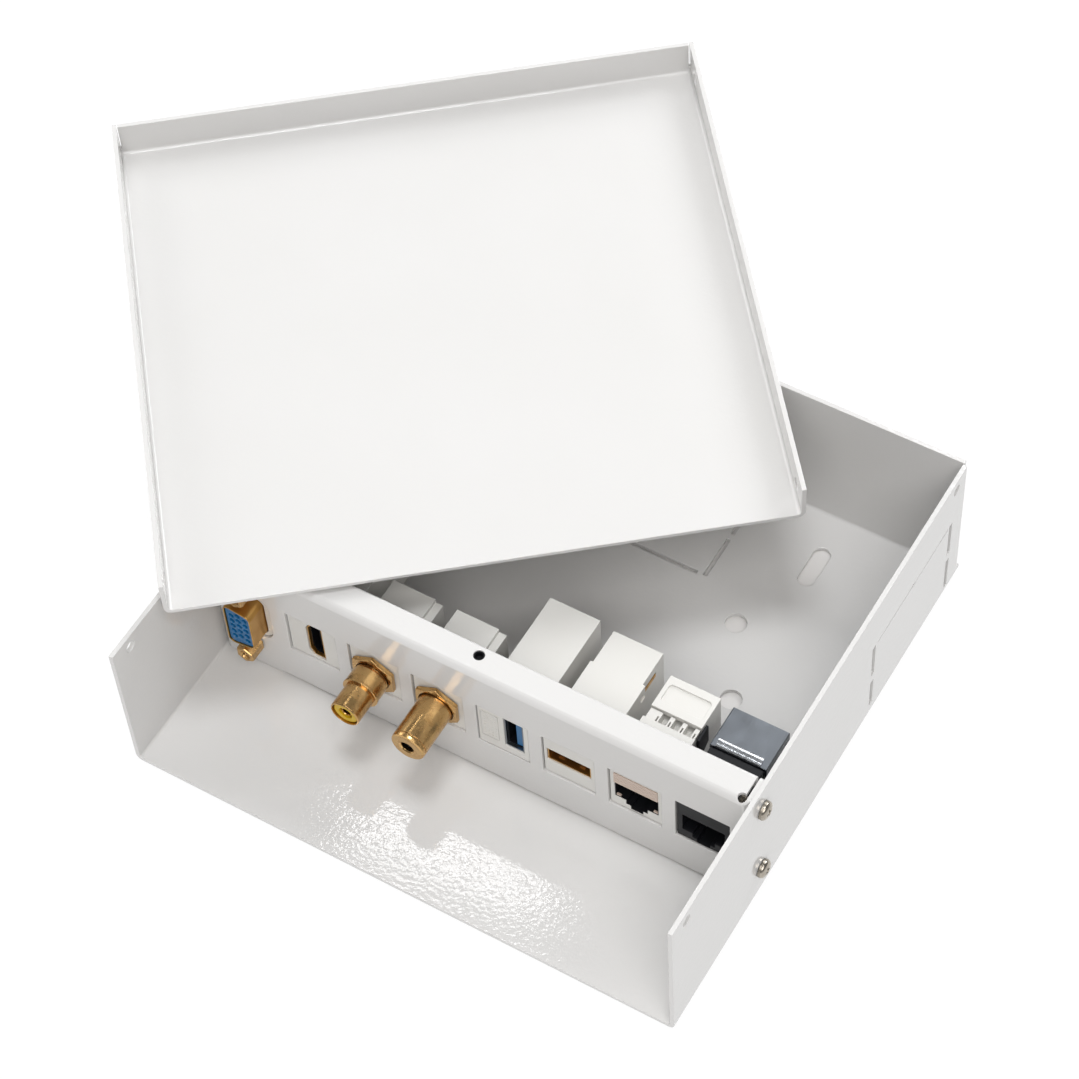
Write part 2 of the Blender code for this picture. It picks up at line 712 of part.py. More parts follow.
def make_video_coupler(materials):
    place = make_port_place("video_coupler_place", 1)
    centre = (0.7, 0.4)
    opening = chamfered_port(14.2, 5.0, 2.3)
    bores = [(opening, -1.0, COUPLER_DEPTH + 1.0, centre)]
    sections = keystone_sections(COUPLER_DEPTH, FACE_SETBACK)
    make_housing("video_coupler_housing", place, materials["white_plastic"], sections, bores)
    outer = chamfered_port(13.8, 4.6, 2.2)
    inner = chamfered_port(13.2, 4.0, 2.1)
    start, end = FACE_SETBACK + 0.4, COUPLER_DEPTH - 0.4
    make_sleeve("video_coupler_shell", place, materials["gold"], outer, inner, start, end, centre)
    core_size, size = (9.6, 3.2), (11.2, 1.2)
    make_coupler_tongue("video_coupler_tongue", place, materials["black_plastic"], core_size, size, 0.3, 3.0, centre)


def make_coupler_tongue(name, place, material, core_size, size, offset, inset, centre):
    """One moulding inside a coupler: a core that fills the middle and a contact tongue towards each end."""
    core_length, core_width = core_size
    length, thickness = size
    middle = COUPLER_DEPTH / 2
    core, reach = 5.5, COUPLER_DEPTH / 2 - inset
    tongue = (
        centre[0] + offset - thickness / 2,
        centre[0] + offset + thickness / 2,
        centre[1] - length / 2,
        centre[1] + length / 2,
    )
    block = (
        centre[0] - core_width / 2,
        centre[0] + core_width / 2,
        centre[1] - core_length / 2,
        centre[1] + core_length / 2,
    )
    bm = bmesh.new()
    sections = [
        (middle - reach, *tongue),
        (middle - core, *tongue),
        (middle - core, *block),
        (middle + core, *block),
        (middle + core, *tongue),
        (middle + reach, *tongue),
    ]
    stepped_block(bm, sections)
    return make_object(name, bm, material, parent=place)


# ---------------------------------------------------------------- ports 2 and 3: phono socket and audio jack


def make_solder_tag(name, place, material, start, end):
    bm = bmesh.new()
    stepped_block(
        bm,
        [
            (start, -1.4, 1.4, -0.4, 0.4),
            (start + (end - start) * 0.4, -1.4, 1.4, -0.4, 0.4),
            (start + (end - start) * 0.4, -0.8, 0.8, -0.4, 0.4),
            (end, -0.8, 0.8, -0.4, 0.4),
        ],
    )
    return make_object(name, bm, material, parent=place)


def make_phono_socket(materials):
    place = make_port_place("phono_socket_place", 2)
    bores = [(circle(4.35, 24), -1.0, SHORT_DEPTH + 1.0, (0.0, 0.0))]
    sections = keystone_sections(SHORT_DEPTH, FACE_SETBACK)
    make_housing("phono_socket_housing", place, materials["white_plastic"], sections, bores)
    nut_end = FACE_SETBACK - GAP
    nut_start = nut_end - NUT_THICKNESS
    make_hex_nut("phono_socket_nut", place, materials["gold"], 12.0, 4.95, nut_start, nut_end, (0.0, 0.0))

    # Threaded part behind a collar ring, then the smooth nose that a plug slides over.
    front, ring = -14.4, -6.6
    profile = [
        (front, 3.75),
        (front, 3.95),
        (front + 0.25, 4.2),
        (ring - 0.5, 4.2),
        (ring - 0.5, 5.15),
        (ring + 0.3, 5.15),
        (ring + 0.3, 5.0),
        (nut_start - 0.2, 5.0),
        (nut_start - 0.2, 4.6),
        (nut_end - 0.1, 4.6),
        (nut_end - 0.1, 4.05),
        (SHORT_DEPTH - 4.0, 4.05),
        (SHORT_DEPTH - 4.0, 3.75),
    ]
    bm = bmesh.new()
    add_turned(bm, profile, 32, bored=True)
    make_object("phono_socket_barrel", bm, materials["gold"], parent=place, smooth_angle=40)

    bm = bmesh.new()
    add_turned(bm, [(front + 0.5, 1.95), (front + 0.5, 3.6), (12.0, 3.6), (12.0, 1.95)], 28, bored=True)
    make_object("phono_socket_insulator", bm, materials["yellow_plastic"], parent=place, smooth_angle=40)

    bm = bmesh.new()
    contact = [(front + 0.9, 1.1), (front + 0.9, 1.75), (SHORT_DEPTH - 6.0, 1.75), (SHORT_DEPTH - 6.0, 1.1)]
    add_turned(bm, contact, 20, bored=True)
    make_object("phono_socket_centre_contact", bm, materials["gold"], parent=place, smooth_angle=40)
    make_solder_tag("phono_socket_solder_tag", place, materials["gold"], SHORT_DEPTH - 5.7, SHORT_DEPTH + 3.0)


def make_audio_jack(materials):
    place = make_port_place("audio_jack_place", 3)
    bores = [(circle(4.35, 24), -1.0, SHORT_DEPTH + 1.0, (0.0, 0.0))]
    sections = keystone_sections(SHORT_DEPTH, FACE_SETBACK)
    make_housing("audio_jack_housing", place, materials["white_plastic"], sections, bores)
    nut_end = FACE_SETBACK - GAP
    make_hex_nut("audio_jack_nut", place, materials["gold"], 12.0, 5.2, nut_end - NUT_THICKNESS, nut_end, (0.0, 0.0))

    front, bore = -15.1, 1.85
    profile = [
        (front, bore),
        (front, 4.25),
        (front + 0.5, 4.85),
        (nut_end - 0.1, 4.85),
        (nut_end - 0.1, 4.05),
        (SHORT_DEPTH - 4.0, 4.05),
        (SHORT_DEPTH - 4.0, 3.7),
        (front + 1.2, 3.7),
        (front + 1.2, bore),
    ]
    bm = bmesh.new()
    add_turned(bm, profile, 32, bored=True)
    make_object("audio_jack_barrel", bm, materials["gold"], parent=place, smooth_angle=40)

    bm = bmesh.new()
    add_turned(bm, [(front + 1.5, bore), (front + 1.5, 3.5), (12.0, 3.5), (12.0, bore)], 28, bored=True)
    make_object("audio_jack_insulator", bm, materials["black_plastic"], parent=place, smooth_angle=40)
    make_solder_tag("audio_jack_solder_tag", place, materials["gold"], 12.3, SHORT_DEPTH + 3.0)


# ---------------------------------------------------------------- port 4: data coupler


def make_data_coupler(materials):
    place = make_port_place("data_coupler_place", 4)
    setback, centre = 0.2, (3.2, 1.3)
    bores = [(centred_rectangle(5.7, 12.5), -1.0, COUPLER_DEPTH + 1.0, centre)]
    sections = keystone_sections(COUPLER_DEPTH, setback)
    make_housing("data_coupler_housing", place, materials["white_plastic"], sections, bores)
    outer, inner = centred_rectangle(5.4, 12.2), centred_rectangle(4.8, 11.6)
    start, end = setback + 0.3, COUPLER_DEPTH - 0.3
    make_sleeve("data_coupler_shell", place, materials["tinned_steel"], outer, inner, start, end, centre)
    core_size, size = (11.0, 4.2), (10.4, 1.8)
    make_coupler_tongue("data_coupler_tongue", place, materials["blue_plastic"], core_size, size, 1.0, 1.4, centre)


# ---------------------------------------------------------------- port 5: slot coupler


def make_slot_coupler(materials):
    place = make_port_place("slot_coupler_place", 5)
    centre, step_y = (-0.1, 0.2), 25.4
    depth = COUPLER_DEPTH - 1.0
    front_half, rear_half = 7.9, 7.2
    sections = keystone_sections(step_y, FACE_SETBACK, body_width=2 * front_half)
    sections += [
        (step_y, -rear_half, rear_half, BODY_BOTTOM, BODY_TOP),
        (depth, -rear_half, rear_half, BODY_BOTTOM, BODY_TOP),
    ]
    bores = [
        (centred_rectangle(12.7, 5.0), -1.0, depth + 1.0, centre),
        (rectangle(6.7, 9.0, 3.4, 5.2), 23.0, 32.0, (0.0, 0.0)),
    ]
    make_housing("slot_coupler_housing", place, materials["white_plastic"], sections, bores)
    outer, inner = centred_rectangle(12.4, 4.7), centred_rectangle(11.8, 4.1)
    start, end = FACE_SETBACK + 0.9, depth - 0.9
    make_sleeve("slot_coupler_shell", place, materials["gold"], outer, inner, start, end, centre)
    bm = bmesh.new()
    tongue = (centre[0] - 5.2, centre[0] + 5.2, centre[1] + 0.6, centre[1] + 1.6)
    core = (centre[0] - 5.7, centre[0] + 5.7, centre[1] - 1.85, centre[1] + 1.85)
    middle = depth / 2
    stepped_block(
        bm,
        [
            (5.0, *tongue),
            (middle - 5.0, *tongue),
            (middle - 5.0, *core),
            (middle + 5.0, *core),
            (middle + 5.0, *tongue),
            (depth - 5.0, *tongue),
        ],
    )
    make_object("slot_coupler_tongue", bm, materials["white_plastic"], parent=place)
    bm = bmesh.new()
    add_box(bm, (6.9, 23.3, 3.7), (7.3, 31.7, 4.9))
    make_object("slot_coupler_ground_strip", bm, materials["gold"], parent=place)


# ---------------------------------------------------------------- ports 6 and 7: network jacks


def plug_opening(half):
    """Eight-way modular plug opening, with its latch notch at the bottom."""
    return [
        (-half, -3.4),
        (-3.1, -3.4),
        (-3.1, -5.2),
        (-1.8, -5.2),
        (-1.8, -6.6),
        (1.8, -6.6),
        (1.8, -5.2),
        (3.1, -5.2),
        (3.1, -3.4),
        (half, -3.4),
        (half, 3.4),
        (-half, 3.4),
    ]


def make_contact_comb(name, place, material, centre, start, end):
    """Eight spring contacts on one strip, at the top of the plug opening."""
    pitch, blade, count = 1.02, 0.46, 8
    bar = start + (end - start) * 0.75
    outline = [((count / 2) * pitch, end), (-(count / 2) * pitch, end)]
    for i in range(count):
        x = (i - (count - 1) / 2) * pitch
        outline += [(x - blade / 2, bar), (x - blade / 2, start), (x + blade / 2, start), (x + blade / 2, bar)]
    bm = bmesh.new()
    low, high = centre[1] + 2.5, centre[1] + 2.8
    drop = 1.6
    rings = []
    for level in (low, high):
        rings.append([(centre[0] + x, y, level - drop * (end - y) / (end - start)) for x, y in outline])
    add_rings(bm, rings)
    return make_object(name, bm, material, parent=place)


def make_white_jack(materials):
    place = make_port_place("white_jack_place", 6)
    centre = (0.2, -0.9)
    bores = [(plug_opening(6.2), -1.0, 14.0, centre)]
    sections = keystone_sections(JACK_DEPTH, FACE_SETBACK)
    make_housing("white_jack_housing", place, materials["white_plastic"], sections, bores)
    make_contact_comb("white_jack_contacts", place, materials["gold"], centre, 3.4, 13.4)

    # Wire block with a comb of ridges in front of the cap, standing on the jack's rear end.
    block_start, block_end = JACK_DEPTH + GAP, 29.0
    bm = bmesh.new()
    outline = [(-7.0, -6.6), (7.0, -6.6)]
    ridge, groove, ridge_top, groove_floor = 1.3, 2.2, 7.4, 4.6
    x = 7.0
    while x > -6.9:
        outline += [(x, ridge_top), (x - ridge, ridge_top)]
        if x - ridge - groove > -7.0:
            outline += [(x - ridge, groove_floor), (x - ridge - groove, groove_floor)]
        x -= ridge + groove
    outline[-1] = (-7.0, ridge_top)
    add_prism_y(bm, outline, block_start, block_start + 3.2)
    block = make_object("white_jack_wire_block", bm, materials["white_plastic"], parent=place)
    core = bmesh.new()
    add_box(core, (-5.6, block_start + 3.0, -5.6), (5.6, block_end, 4.2))
    combine(block, "UNION", core, "add_white_jack_core")

    cap_start, cap_end, wall = block_start + 3.2 + GAP, 31.6, 1.1
    bm = bmesh.new()
    add_box(bm, (-7.2, cap_start, -7.4), (7.2, cap_end, 8.0))
    round_edges(bm, lambda a, b: near_edge(a, b, ((1, cap_end),)), 0.5, 2)
    cap = make_object("white_jack_wire_cap", bm, materials["white_plastic"], parent=place)
    hollow = bmesh.new()
    add_box(hollow, (-7.2 + wall, cap_start - 1.0, -7.4 + wall), (7.2 - wall, cap_end - wall, 8.0 - wall - 0.6))
    combine(cap, "DIFFERENCE", hollow, "cut_white_jack_cap")
    tray = bmesh.new()
    add_box(tray, (-6.0, cap_start + 2.2, 7.4), (6.0, cap_end - 2.4, 9.0))
    combine(cap, "DIFFERENCE", tray, "cut_white_jack_cap_tray")

    bm = bmesh.new()
    stepped_block(
        bm,
        [
            (block_start + 0.4, 7.3, 8.2, -2.0, 7.0),
            (block_start + 5.2, 7.5, 8.2, 1.0, 7.6),
        ],
    )
    make_object("white_jack_side_clip", bm, materials["black_plastic"], parent=place)


def make_black_jack(materials):
    place = make_port_place("black_jack_place", 7)
    centre = (0.2, -0.9)
    setback = 0.3
    bores = [(plug_opening(5.9), -1.0, 14.0, centre)]
    sections = keystone_sections(JACK_DEPTH, setback)
    make_housing("black_jack_housing", place, materials["black_plastic"], sections, bores)
    make_contact_comb("black_jack_contacts", place, materials["gold"], centre, 3.4, 13.4)

    rear_start, rear_end = JACK_DEPTH + GAP, 31.2
    bm = bmesh.new()
    add_box(bm, (-7.3, rear_start, -7.6), (7.3, rear_end, 6.9))
    make_object("black_jack_rear_body", bm, materials["black_plastic"], parent=place)

    # Screening plate over the rear body: bent down at both sides, with a curled lip at its front edge.
    bm = bmesh.new()
    top, wall, skirt = 7.9, 0.5, 3.5
    left, right = -7.6 - wall, 7.6 + wall - 0.9
    outline = [
        (left, top - skirt),
        (left + wall, top - skirt),
        (left + wall, top - wall),
        (right - wall, top - wall),
        (right - wall, top - skirt),
        (right, top - skirt),
        (right, top - 0.4),
        (right - 0.4, top),
        (left + 0.4, top),
        (left, top - 0.4),
    ]
    outline = [(x if x < 0 else x + 0.9 - 0.3, z) for x, z in outline]
    add_prism_y(bm, outline, rear_start + 0.6, rear_end - 0.4)
    shield = make_object("black_jack_shield", bm, materials["tinned_steel"], parent=place)
    lip = bmesh.new()
    lip_outline = [(rear_start + 0.6, top - wall), (rear_start + 3.2, top - wall), (rear_start + 3.2, top + 0.7)]
    lip_outline += [(rear_start + 2.7, top + 0.7), (rear_start + 2.4, top - 0.02), (rear_start + 0.6, top - 0.02)]
    rings = [[(x, y, z) for y, z in lip_outline] for x in (-6.6, 6.0)]
    add_rings(lip, rings)
    combine(shield, "UNION", lip, "add_black_jack_lip")


# ---------------------------------------------------------------- whole box


def main():
    clear_scene()
    materials = make_materials()
    make_base_tray(materials)
    make_port_panel(materials)
    make_lid(materials)
    for side, hand in ((-1, "left"), (1, "right")):
        for level, height in PANEL_SCREW_HEIGHTS.items():
            make_panel_screw(f"panel_screw_{hand}_{level}", side, height, materials)
    make_dsub(materials)
    make_video_coupler(materials)
    make_phono_socket(materials)
    make_audio_jack(materials)
    make_data_coupler(materials)
    make_slot_coupler(materials)
    make_white_jack(materials)
    make_black_jack(materials)


main()
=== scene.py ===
"""Keystone audio-video connection box with its lid laid upside down across the walls.

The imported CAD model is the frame. Every sub-assembly below is a class that redraws its CAD nodes with
rounded edges and finer shapes, dresses them in their finishes and lets them ride on the CAD bodies. Shapes
are drawn in millimetres in the CAD row's own frame and turned to metres when a piece is stored.
"""

import json
import logging
import math
from collections.abc import Callable, Sequence
from dataclasses import dataclass, field
from enum import Enum
from functools import cache

import bmesh
import bpy
from mathutils import Euler, Matrix, Vector

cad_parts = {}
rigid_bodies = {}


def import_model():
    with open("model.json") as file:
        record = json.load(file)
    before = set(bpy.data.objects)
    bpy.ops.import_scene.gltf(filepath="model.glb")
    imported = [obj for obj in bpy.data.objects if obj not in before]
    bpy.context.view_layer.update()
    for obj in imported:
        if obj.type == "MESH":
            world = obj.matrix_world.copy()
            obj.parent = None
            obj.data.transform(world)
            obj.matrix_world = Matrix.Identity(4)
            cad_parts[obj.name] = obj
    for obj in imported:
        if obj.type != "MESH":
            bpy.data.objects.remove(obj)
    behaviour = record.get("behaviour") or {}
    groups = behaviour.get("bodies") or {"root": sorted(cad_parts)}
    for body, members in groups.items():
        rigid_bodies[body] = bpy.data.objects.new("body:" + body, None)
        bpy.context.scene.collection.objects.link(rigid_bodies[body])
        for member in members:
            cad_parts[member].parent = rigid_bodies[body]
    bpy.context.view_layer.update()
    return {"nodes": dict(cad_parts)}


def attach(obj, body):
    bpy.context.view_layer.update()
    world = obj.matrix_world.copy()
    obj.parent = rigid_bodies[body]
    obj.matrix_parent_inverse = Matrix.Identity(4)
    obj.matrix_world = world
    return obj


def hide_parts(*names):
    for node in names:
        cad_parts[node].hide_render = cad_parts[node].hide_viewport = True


MM = 0.001
LOG = logging.getLogger("connection_box")

Outline = list[tuple[float, float]]
Ring = list[tuple[float, float, float]]
EdgeTest = Callable[[Vector, Vector], bool]

SHEET = 1.2
GAP = 0.3
BASE_WIDTH = 160.0
BASE_DEPTH = 156.0
BASE_HEIGHT = 48.0
FRONT_Y = -BASE_DEPTH / 2
LEFT_X = -BASE_WIDTH / 2
PANEL_Y = FRONT_Y + 40.0
PORT_PITCH = 19.05
PORT_ROW_OFFSET = -0.8
PORT_COUNT = 8
PORT_HEIGHT = 24.2
WINDOW_WIDTH = 15.2
WINDOW_HEIGHT = 16.2


class Body(Enum):
    """The CAD bodies that pieces ride on."""

    BASE = "base"
    LID = "lid"
    WIRE_CAP = "wire_cap"


class Operation(Enum):
    """What a second shape does to the first."""

    CUT = "DIFFERENCE"
    JOIN = "UNION"


class Axis(Enum):
    """A direction of the row frame."""

    X = 0
    Y = 1
    Z = 2


# ---------------------------------------------------------------- finishes


def linear(hex_colour: str) -> tuple[float, float, float, float]:
    """Turn an sRGB hex colour to linear light.

    Args:
        hex_colour: the colour as #RRGGBB.

    Returns:
        Linear red, green and blue, and an alpha of one.
    """
    channels = [int(hex_colour[i : i + 2], 16) / 255 for i in (1, 3, 5)]
    red, green, blue = (c / 12.92 if c <= 0.04045 else ((c + 0.055) / 1.055) ** 2.4 for c in channels)
    return red, green, blue, 1.0


def per_metre(spacing: float) -> float:
    """The scale of a pattern whose features lie this many millimetres apart."""
    return 1.0 / (spacing * MM)


def add_node(
    tree: bpy.types.NodeTree, kind: str, settings: dict[str, object] | None = None, inputs: dict | None = None
) -> bpy.types.Node:
    """Add a shader node with its settings and links.

    Args:
        tree: the material's node tree.
        kind: the node's type name.
        settings: properties of the node by name.
        inputs: by input name or number, a socket to link from or a constant value.

    Returns:
        The new node.
    """
    node = tree.nodes.new(kind)
    for name, value in (settings or {}).items():
        setattr(node, name, value)
    for name, value in (inputs or {}).items():
        if isinstance(value, bpy.types.NodeSocket):
            tree.links.new(value, node.inputs[name])
        else:
            node.inputs[name].default_value = value
    return node


def add_noise(
    tree: bpy.types.NodeTree, where: bpy.types.NodeSocket, spacing: float, detail: float
) -> bpy.types.NodeSocket:
    """Add a noise pattern.

    Args:
        tree: the material's node tree.
        where: the place in the piece's own space.
        spacing: how far apart its features lie, in millimetres.
        detail: octaves of finer noise on it.

    Returns:
        The pattern's socket, from 0 to 1.
    """
    inputs = {"Vector": where, "Scale": per_metre(spacing), "Detail": detail}
    return add_node(tree, "ShaderNodeTexNoise", inputs=inputs).outputs["Fac"]


@dataclass(frozen=True)
class Finish:
    """A material and how its surface was made."""

    name: str
    slot: str
    colour: str
    second_colour: str
    roughness: float
    cloud_spacing: float = 30.0
    roughness_spread: float = 0.04
    metallic: float = 0.0
    ior: float = 1.5

    def build(self) -> bpy.types.Material:
        """Make the Blender material.

        Returns:
            A Principled material whose colour and roughness drift slowly, with the finish's own relief.
        """
        material = bpy.data.materials.new(self.name)
        material.use_nodes = True
        material.diffuse_color = linear(self.colour)
        tree = material.node_tree
        shader = tree.nodes["Principled BSDF"]
        shader.inputs["Metallic"].default_value = self.metallic
        if not self.metallic:
            shader.inputs["IOR"].default_value = self.ior
        where = add_node(tree, "ShaderNodeTexCoord").outputs["Object"]
        cloud = add_noise(tree, where, self.cloud_spacing, 3.0)
        colour = add_node(
            tree,
            "ShaderNodeMix",
            {"data_type": "RGBA"},
            {0: cloud, 6: linear(self.colour), 7: linear(self.second_colour)},
        )
        low, high = self.roughness - self.roughness_spread, self.roughness + self.roughness_spread
        rough = add_node(
            tree,
            "ShaderNodeMapRange",
            inputs={"Value": cloud, "From Min": 0.3, "From Max": 0.7, "To Min": low, "To Max": high},
        )
        tree.links.new(colour.outputs[2], shader.inputs["Base Color"])
        tree.links.new(rough.outputs["Result"], shader.inputs["Roughness"])
        relief = self.relief(tree, where)
        if relief is not None:
            tree.links.new(relief, shader.inputs["Normal"])
        return material

    def relief(self, tree: bpy.types.NodeTree, where: bpy.types.NodeSocket) -> bpy.types.NodeSocket | None:
        """The surface's relief as a normal, which a plain finish hasn't."""
        return None

    def bump(
        self,
        tree: bpy.types.NodeTree,
        height: bpy.types.NodeSocket,
        depth: float,
        under: bpy.types.NodeSocket | None = None,
    ) -> bpy.types.NodeSocket:
        """Turn a height pattern into a normal.

        Args:
            tree: the material's node tree.
            height: the pattern, from 0 to 1.
            depth: its depth in millimetres.
            under: a normal that this relief lies on.

        Returns:
            The normal's socket.
        """
        inputs: dict = {"Height": height, "Distance": depth * MM, "Strength": 1.0}
        if under is not None:
            inputs["Normal"] = under
        return add_node(tree, "ShaderNodeBump", inputs=inputs).outputs["Normal"]


@dataclass(frozen=True)
class PowderCoat(Finish):
    """Polyester powder, sprayed and cured: satin gloss over the fine dimples called orange peel."""

    peel_spacing: float = 1.3
    peel_depth: float = 0.026
    grain_spacing: float = 0.6
    grain_depth: float = 0.002

    def relief(self, tree: bpy.types.NodeTree, where: bpy.types.NodeSocket) -> bpy.types.NodeSocket | None:
        """Orange peel with a finer grain on it, drawn about twice as coarse as it is, so that it shows."""
        peel = add_noise(tree, where, self.peel_spacing, 1.0)
        grain = add_noise(tree, where, self.grain_spacing, 1.0)
        coarse = self.bump(tree, peel, self.peel_depth)
        return self.bump(tree, grain, self.grain_depth, coarse)


@dataclass(frozen=True)
class Moulding(Finish):
    """Injection-moulded thermoplastic with the faint spark-eroded grain of its mould."""

    grain_spacing: float = 0.6
    grain_depth: float = 0.003

    def relief(self, tree: bpy.types.NodeTree, where: bpy.types.NodeSocket) -> bpy.types.NodeSocket | None:
        """Mould grain, drawn about twice as coarse as it is, so that it shows."""
        return self.bump(tree, add_noise(tree, where, self.grain_spacing, 2.0), self.grain_depth)


@dataclass(frozen=True)
class TurnedMetal(Finish):
    """Plated metal turned from drawn bar: fine streaks run along the bar, or tool lines round it."""

    streak: tuple[float, float, float] = (0.4, 7.0, 0.4)
    line_depth: float = 0.008

    def relief(self, tree: bpy.types.NodeTree, where: bpy.types.NodeSocket) -> bpy.types.NodeSocket | None:
        """Streaks, drawn about three times as coarse as they are, so that they show."""
        scale = [per_metre(spacing) for spacing in self.streak]
        along = add_node(tree, "ShaderNodeMapping", inputs={"Vector": where, "Scale": scale})
        inputs = {"Vector": along.outputs["Vector"], "Scale": 1.0, "Detail": 2.0}
        lines = add_node(tree, "ShaderNodeTexNoise", inputs=inputs)
        return self.bump(tree, lines.outputs["Fac"], self.line_depth)


@dataclass(frozen=True)
class PressedMetal(Finish):
    """Thin plated strip pressed to shape: the drawing leaves shallow waves and scuffs."""

    wave_spacing: float = 2.2
    wave_depth: float = 0.02

    def relief(self, tree: bpy.types.NodeTree, where: bpy.types.NodeSocket) -> bpy.types.NodeSocket | None:
        """Shallow waves of the pressed sheet."""
        return self.bump(tree, add_noise(tree, where, self.wave_spacing, 2.0), self.wave_depth)


# White with a grey cast and a high gloss; a lamp's reflection breaks up into sparkles in its orange peel.
POWDER_WHITE = PowderCoat(
    "powder_coat_gloss_white", "powder_coat", "#DBDAD9", "#D7D6D4", 0.07, 45.0, 0.015, ior=1.5
)
# A touch lighter and warmer than the coated sheet, with a softer gloss.
ABS_WHITE = Moulding(
    "abs_moulded_white", "white_plastic", "#DDDCD8", "#D8D6D1", 0.36, cloud_spacing=12.0, ior=1.53
)
# Beige, nearly pink beside the white housing, laid on the network jack's face above its opening and on the
# guides in its lower corners.
JACK_FACE_BEIGE = Moulding(
    "jack_face_beige", "white_plastic", "#CDBBAE", "#C4B1A3", 0.42, cloud_spacing=8.0, ior=1.55
)
# Deep black with a low, blue-grey sheen.
ABS_BLACK = Moulding(
    "abs_moulded_black", "black_plastic", "#0D0F15", "#090A0E", 0.5, cloud_spacing=10.0, ior=1.38
)
# Saturated mid blue of the D-sub insulator and of the data socket's tongue.
PBT_BLUE = Moulding(
    "pbt_moulded_blue", "blue_plastic", "#0A6CA4", "#085C90", 0.36, cloud_spacing=6.0, ior=1.55
)
# Strong yellow that codes the composite video socket.
ACETAL_YELLOW = Moulding(
    "acetal_turned_yellow", "yellow_plastic", "#D9B51E", "#CBA516", 0.34, cloud_spacing=4.0, ior=1.48
)
# Flash gold over brass: warm, bright highlights and brown reflections.
GOLD_TURNED = TurnedMetal(
    "gold_plate_turned_brass", "gold", "#DDB97F", "#B98E58", 0.25, 2.5, 0.08, metallic=1.0
)
# Gold flash on pressed steel, more bronze where it is thin.
GOLD_PRESSED = PressedMetal(
    "gold_plate_pressed_steel", "gold", "#D9AC66", "#BE8E4C", 0.34, 4.0, 0.06, metallic=1.0
)
# Nickel on the heads of the machine screws, greyish yellow.
NICKEL_TURNED = TurnedMetal(
    "nickel_plate_machine_screw",
    "nickel",
    "#BDB6AA",
    "#8F877C",
    0.26,
    2.0,
    metallic=1.0,
    streak=(0.5, 0.5, 0.5),
)
# Tinned sheet, rolled: dull blue-grey with faint streaks along the module.
TINNED_SHEET = TurnedMetal(
    "tinned_steel_sheet",
    "tinned_steel",
    "#979BA1",
    "#7D838A",
    0.32,
    8.0,
    0.06,
    metallic=1.0,
    streak=(0.35, 9.0, 9.0),
    line_depth=0.02,
)
# The same tinned sheet on its rolled edge, made much lighter: a painted highlight along the curl.
TINNED_CURL_HIGHLIGHT = PressedMetal(
    "tinned_steel_painted_highlight", "tinned_steel", "#D5D8DB", "#B9BDC2", 0.20, 2.0, metallic=1.0, wave_depth=0.03
)


@cache
def material_of(finish: Finish) -> bpy.types.Material:
    """The material of a finish, made once."""
    return finish.build()


# ---------------------------------------------------------------- drawing


def circle(radius: float, count: int = 48, start: float = 0.0) -> Outline:
    """Points on a circle, anticlockwise.

    Args:
        radius: its radius.
        count: how many points.
        start: the first point's angle in radians.

    Returns:
        The outline.
    """
    angles = [start + 2 * math.pi * i / count for i in range(count)]
    return [(radius * math.cos(a), radius * math.sin(a)) for a in angles]


def rectangle(left: float, right: float, bottom: float, top: float) -> Outline:
    """The four corners of a rectangle, anticlockwise."""
    return [(left, bottom), (right, bottom), (right, top), (left, top)]


def centred(width: float, height: float) -> Outline:
    """A rectangle about the origin."""
    return rectangle(-width / 2, width / 2, -height / 2, height / 2)


def rounded_polygon(corners: Outline, radius: float, count: int = 8) -> Outline:
    """Round every corner of a convex polygon.

    Args:
        corners: the polygon, anticlockwise.
        radius: the radius of each corner.
        count: points on each arc.

    Returns:
        The outline with arcs for corners.
    """
    outline: Outline = []
    for i, point in enumerate(corners):
        here = Vector(point)
        before = (Vector(corners[i - 1]) - here).normalized()
        after = (Vector(corners[(i + 1) % len(corners)]) - here).normalized()
        half = before.angle(after) / 2
        centre = here + (before + after).normalized() * radius / math.sin(half)
        first = here + before * radius / math.tan(half) - centre
        sweep = math.pi - 2 * half
        for step in range(count):
            turned = Matrix.Rotation(sweep * step / (count - 1), 2) @ first
            outline.append((centre.x + turned.x, centre.y + turned.y))
    return outline


def obround(width: float, length: float, count: int = 16) -> Outline:
    """A slot with round ends, long in its second direction.

    Args:
        width: across the slot.
        length: from end to end.
        count: steps round each end.

    Returns:
        The outline.
    """
    radius, half = width / 2, (length - width) / 2
    outline: Outline = []
    for side in (1, -1):
        for i in range(count + 1):
            angle = math.pi * i / count + (0.0 if side > 0 else math.pi)
            outline.append((radius * math.cos(angle), side * half + radius * math.sin(angle)))
    return outline


def on_plane(first: Vector, second: Vector, axis: Axis, value: float) -> bool:
    """True if both ends of an edge have this coordinate."""
    return max(abs(first[axis.value] - value), abs(second[axis.value] - value)) < 1e-3


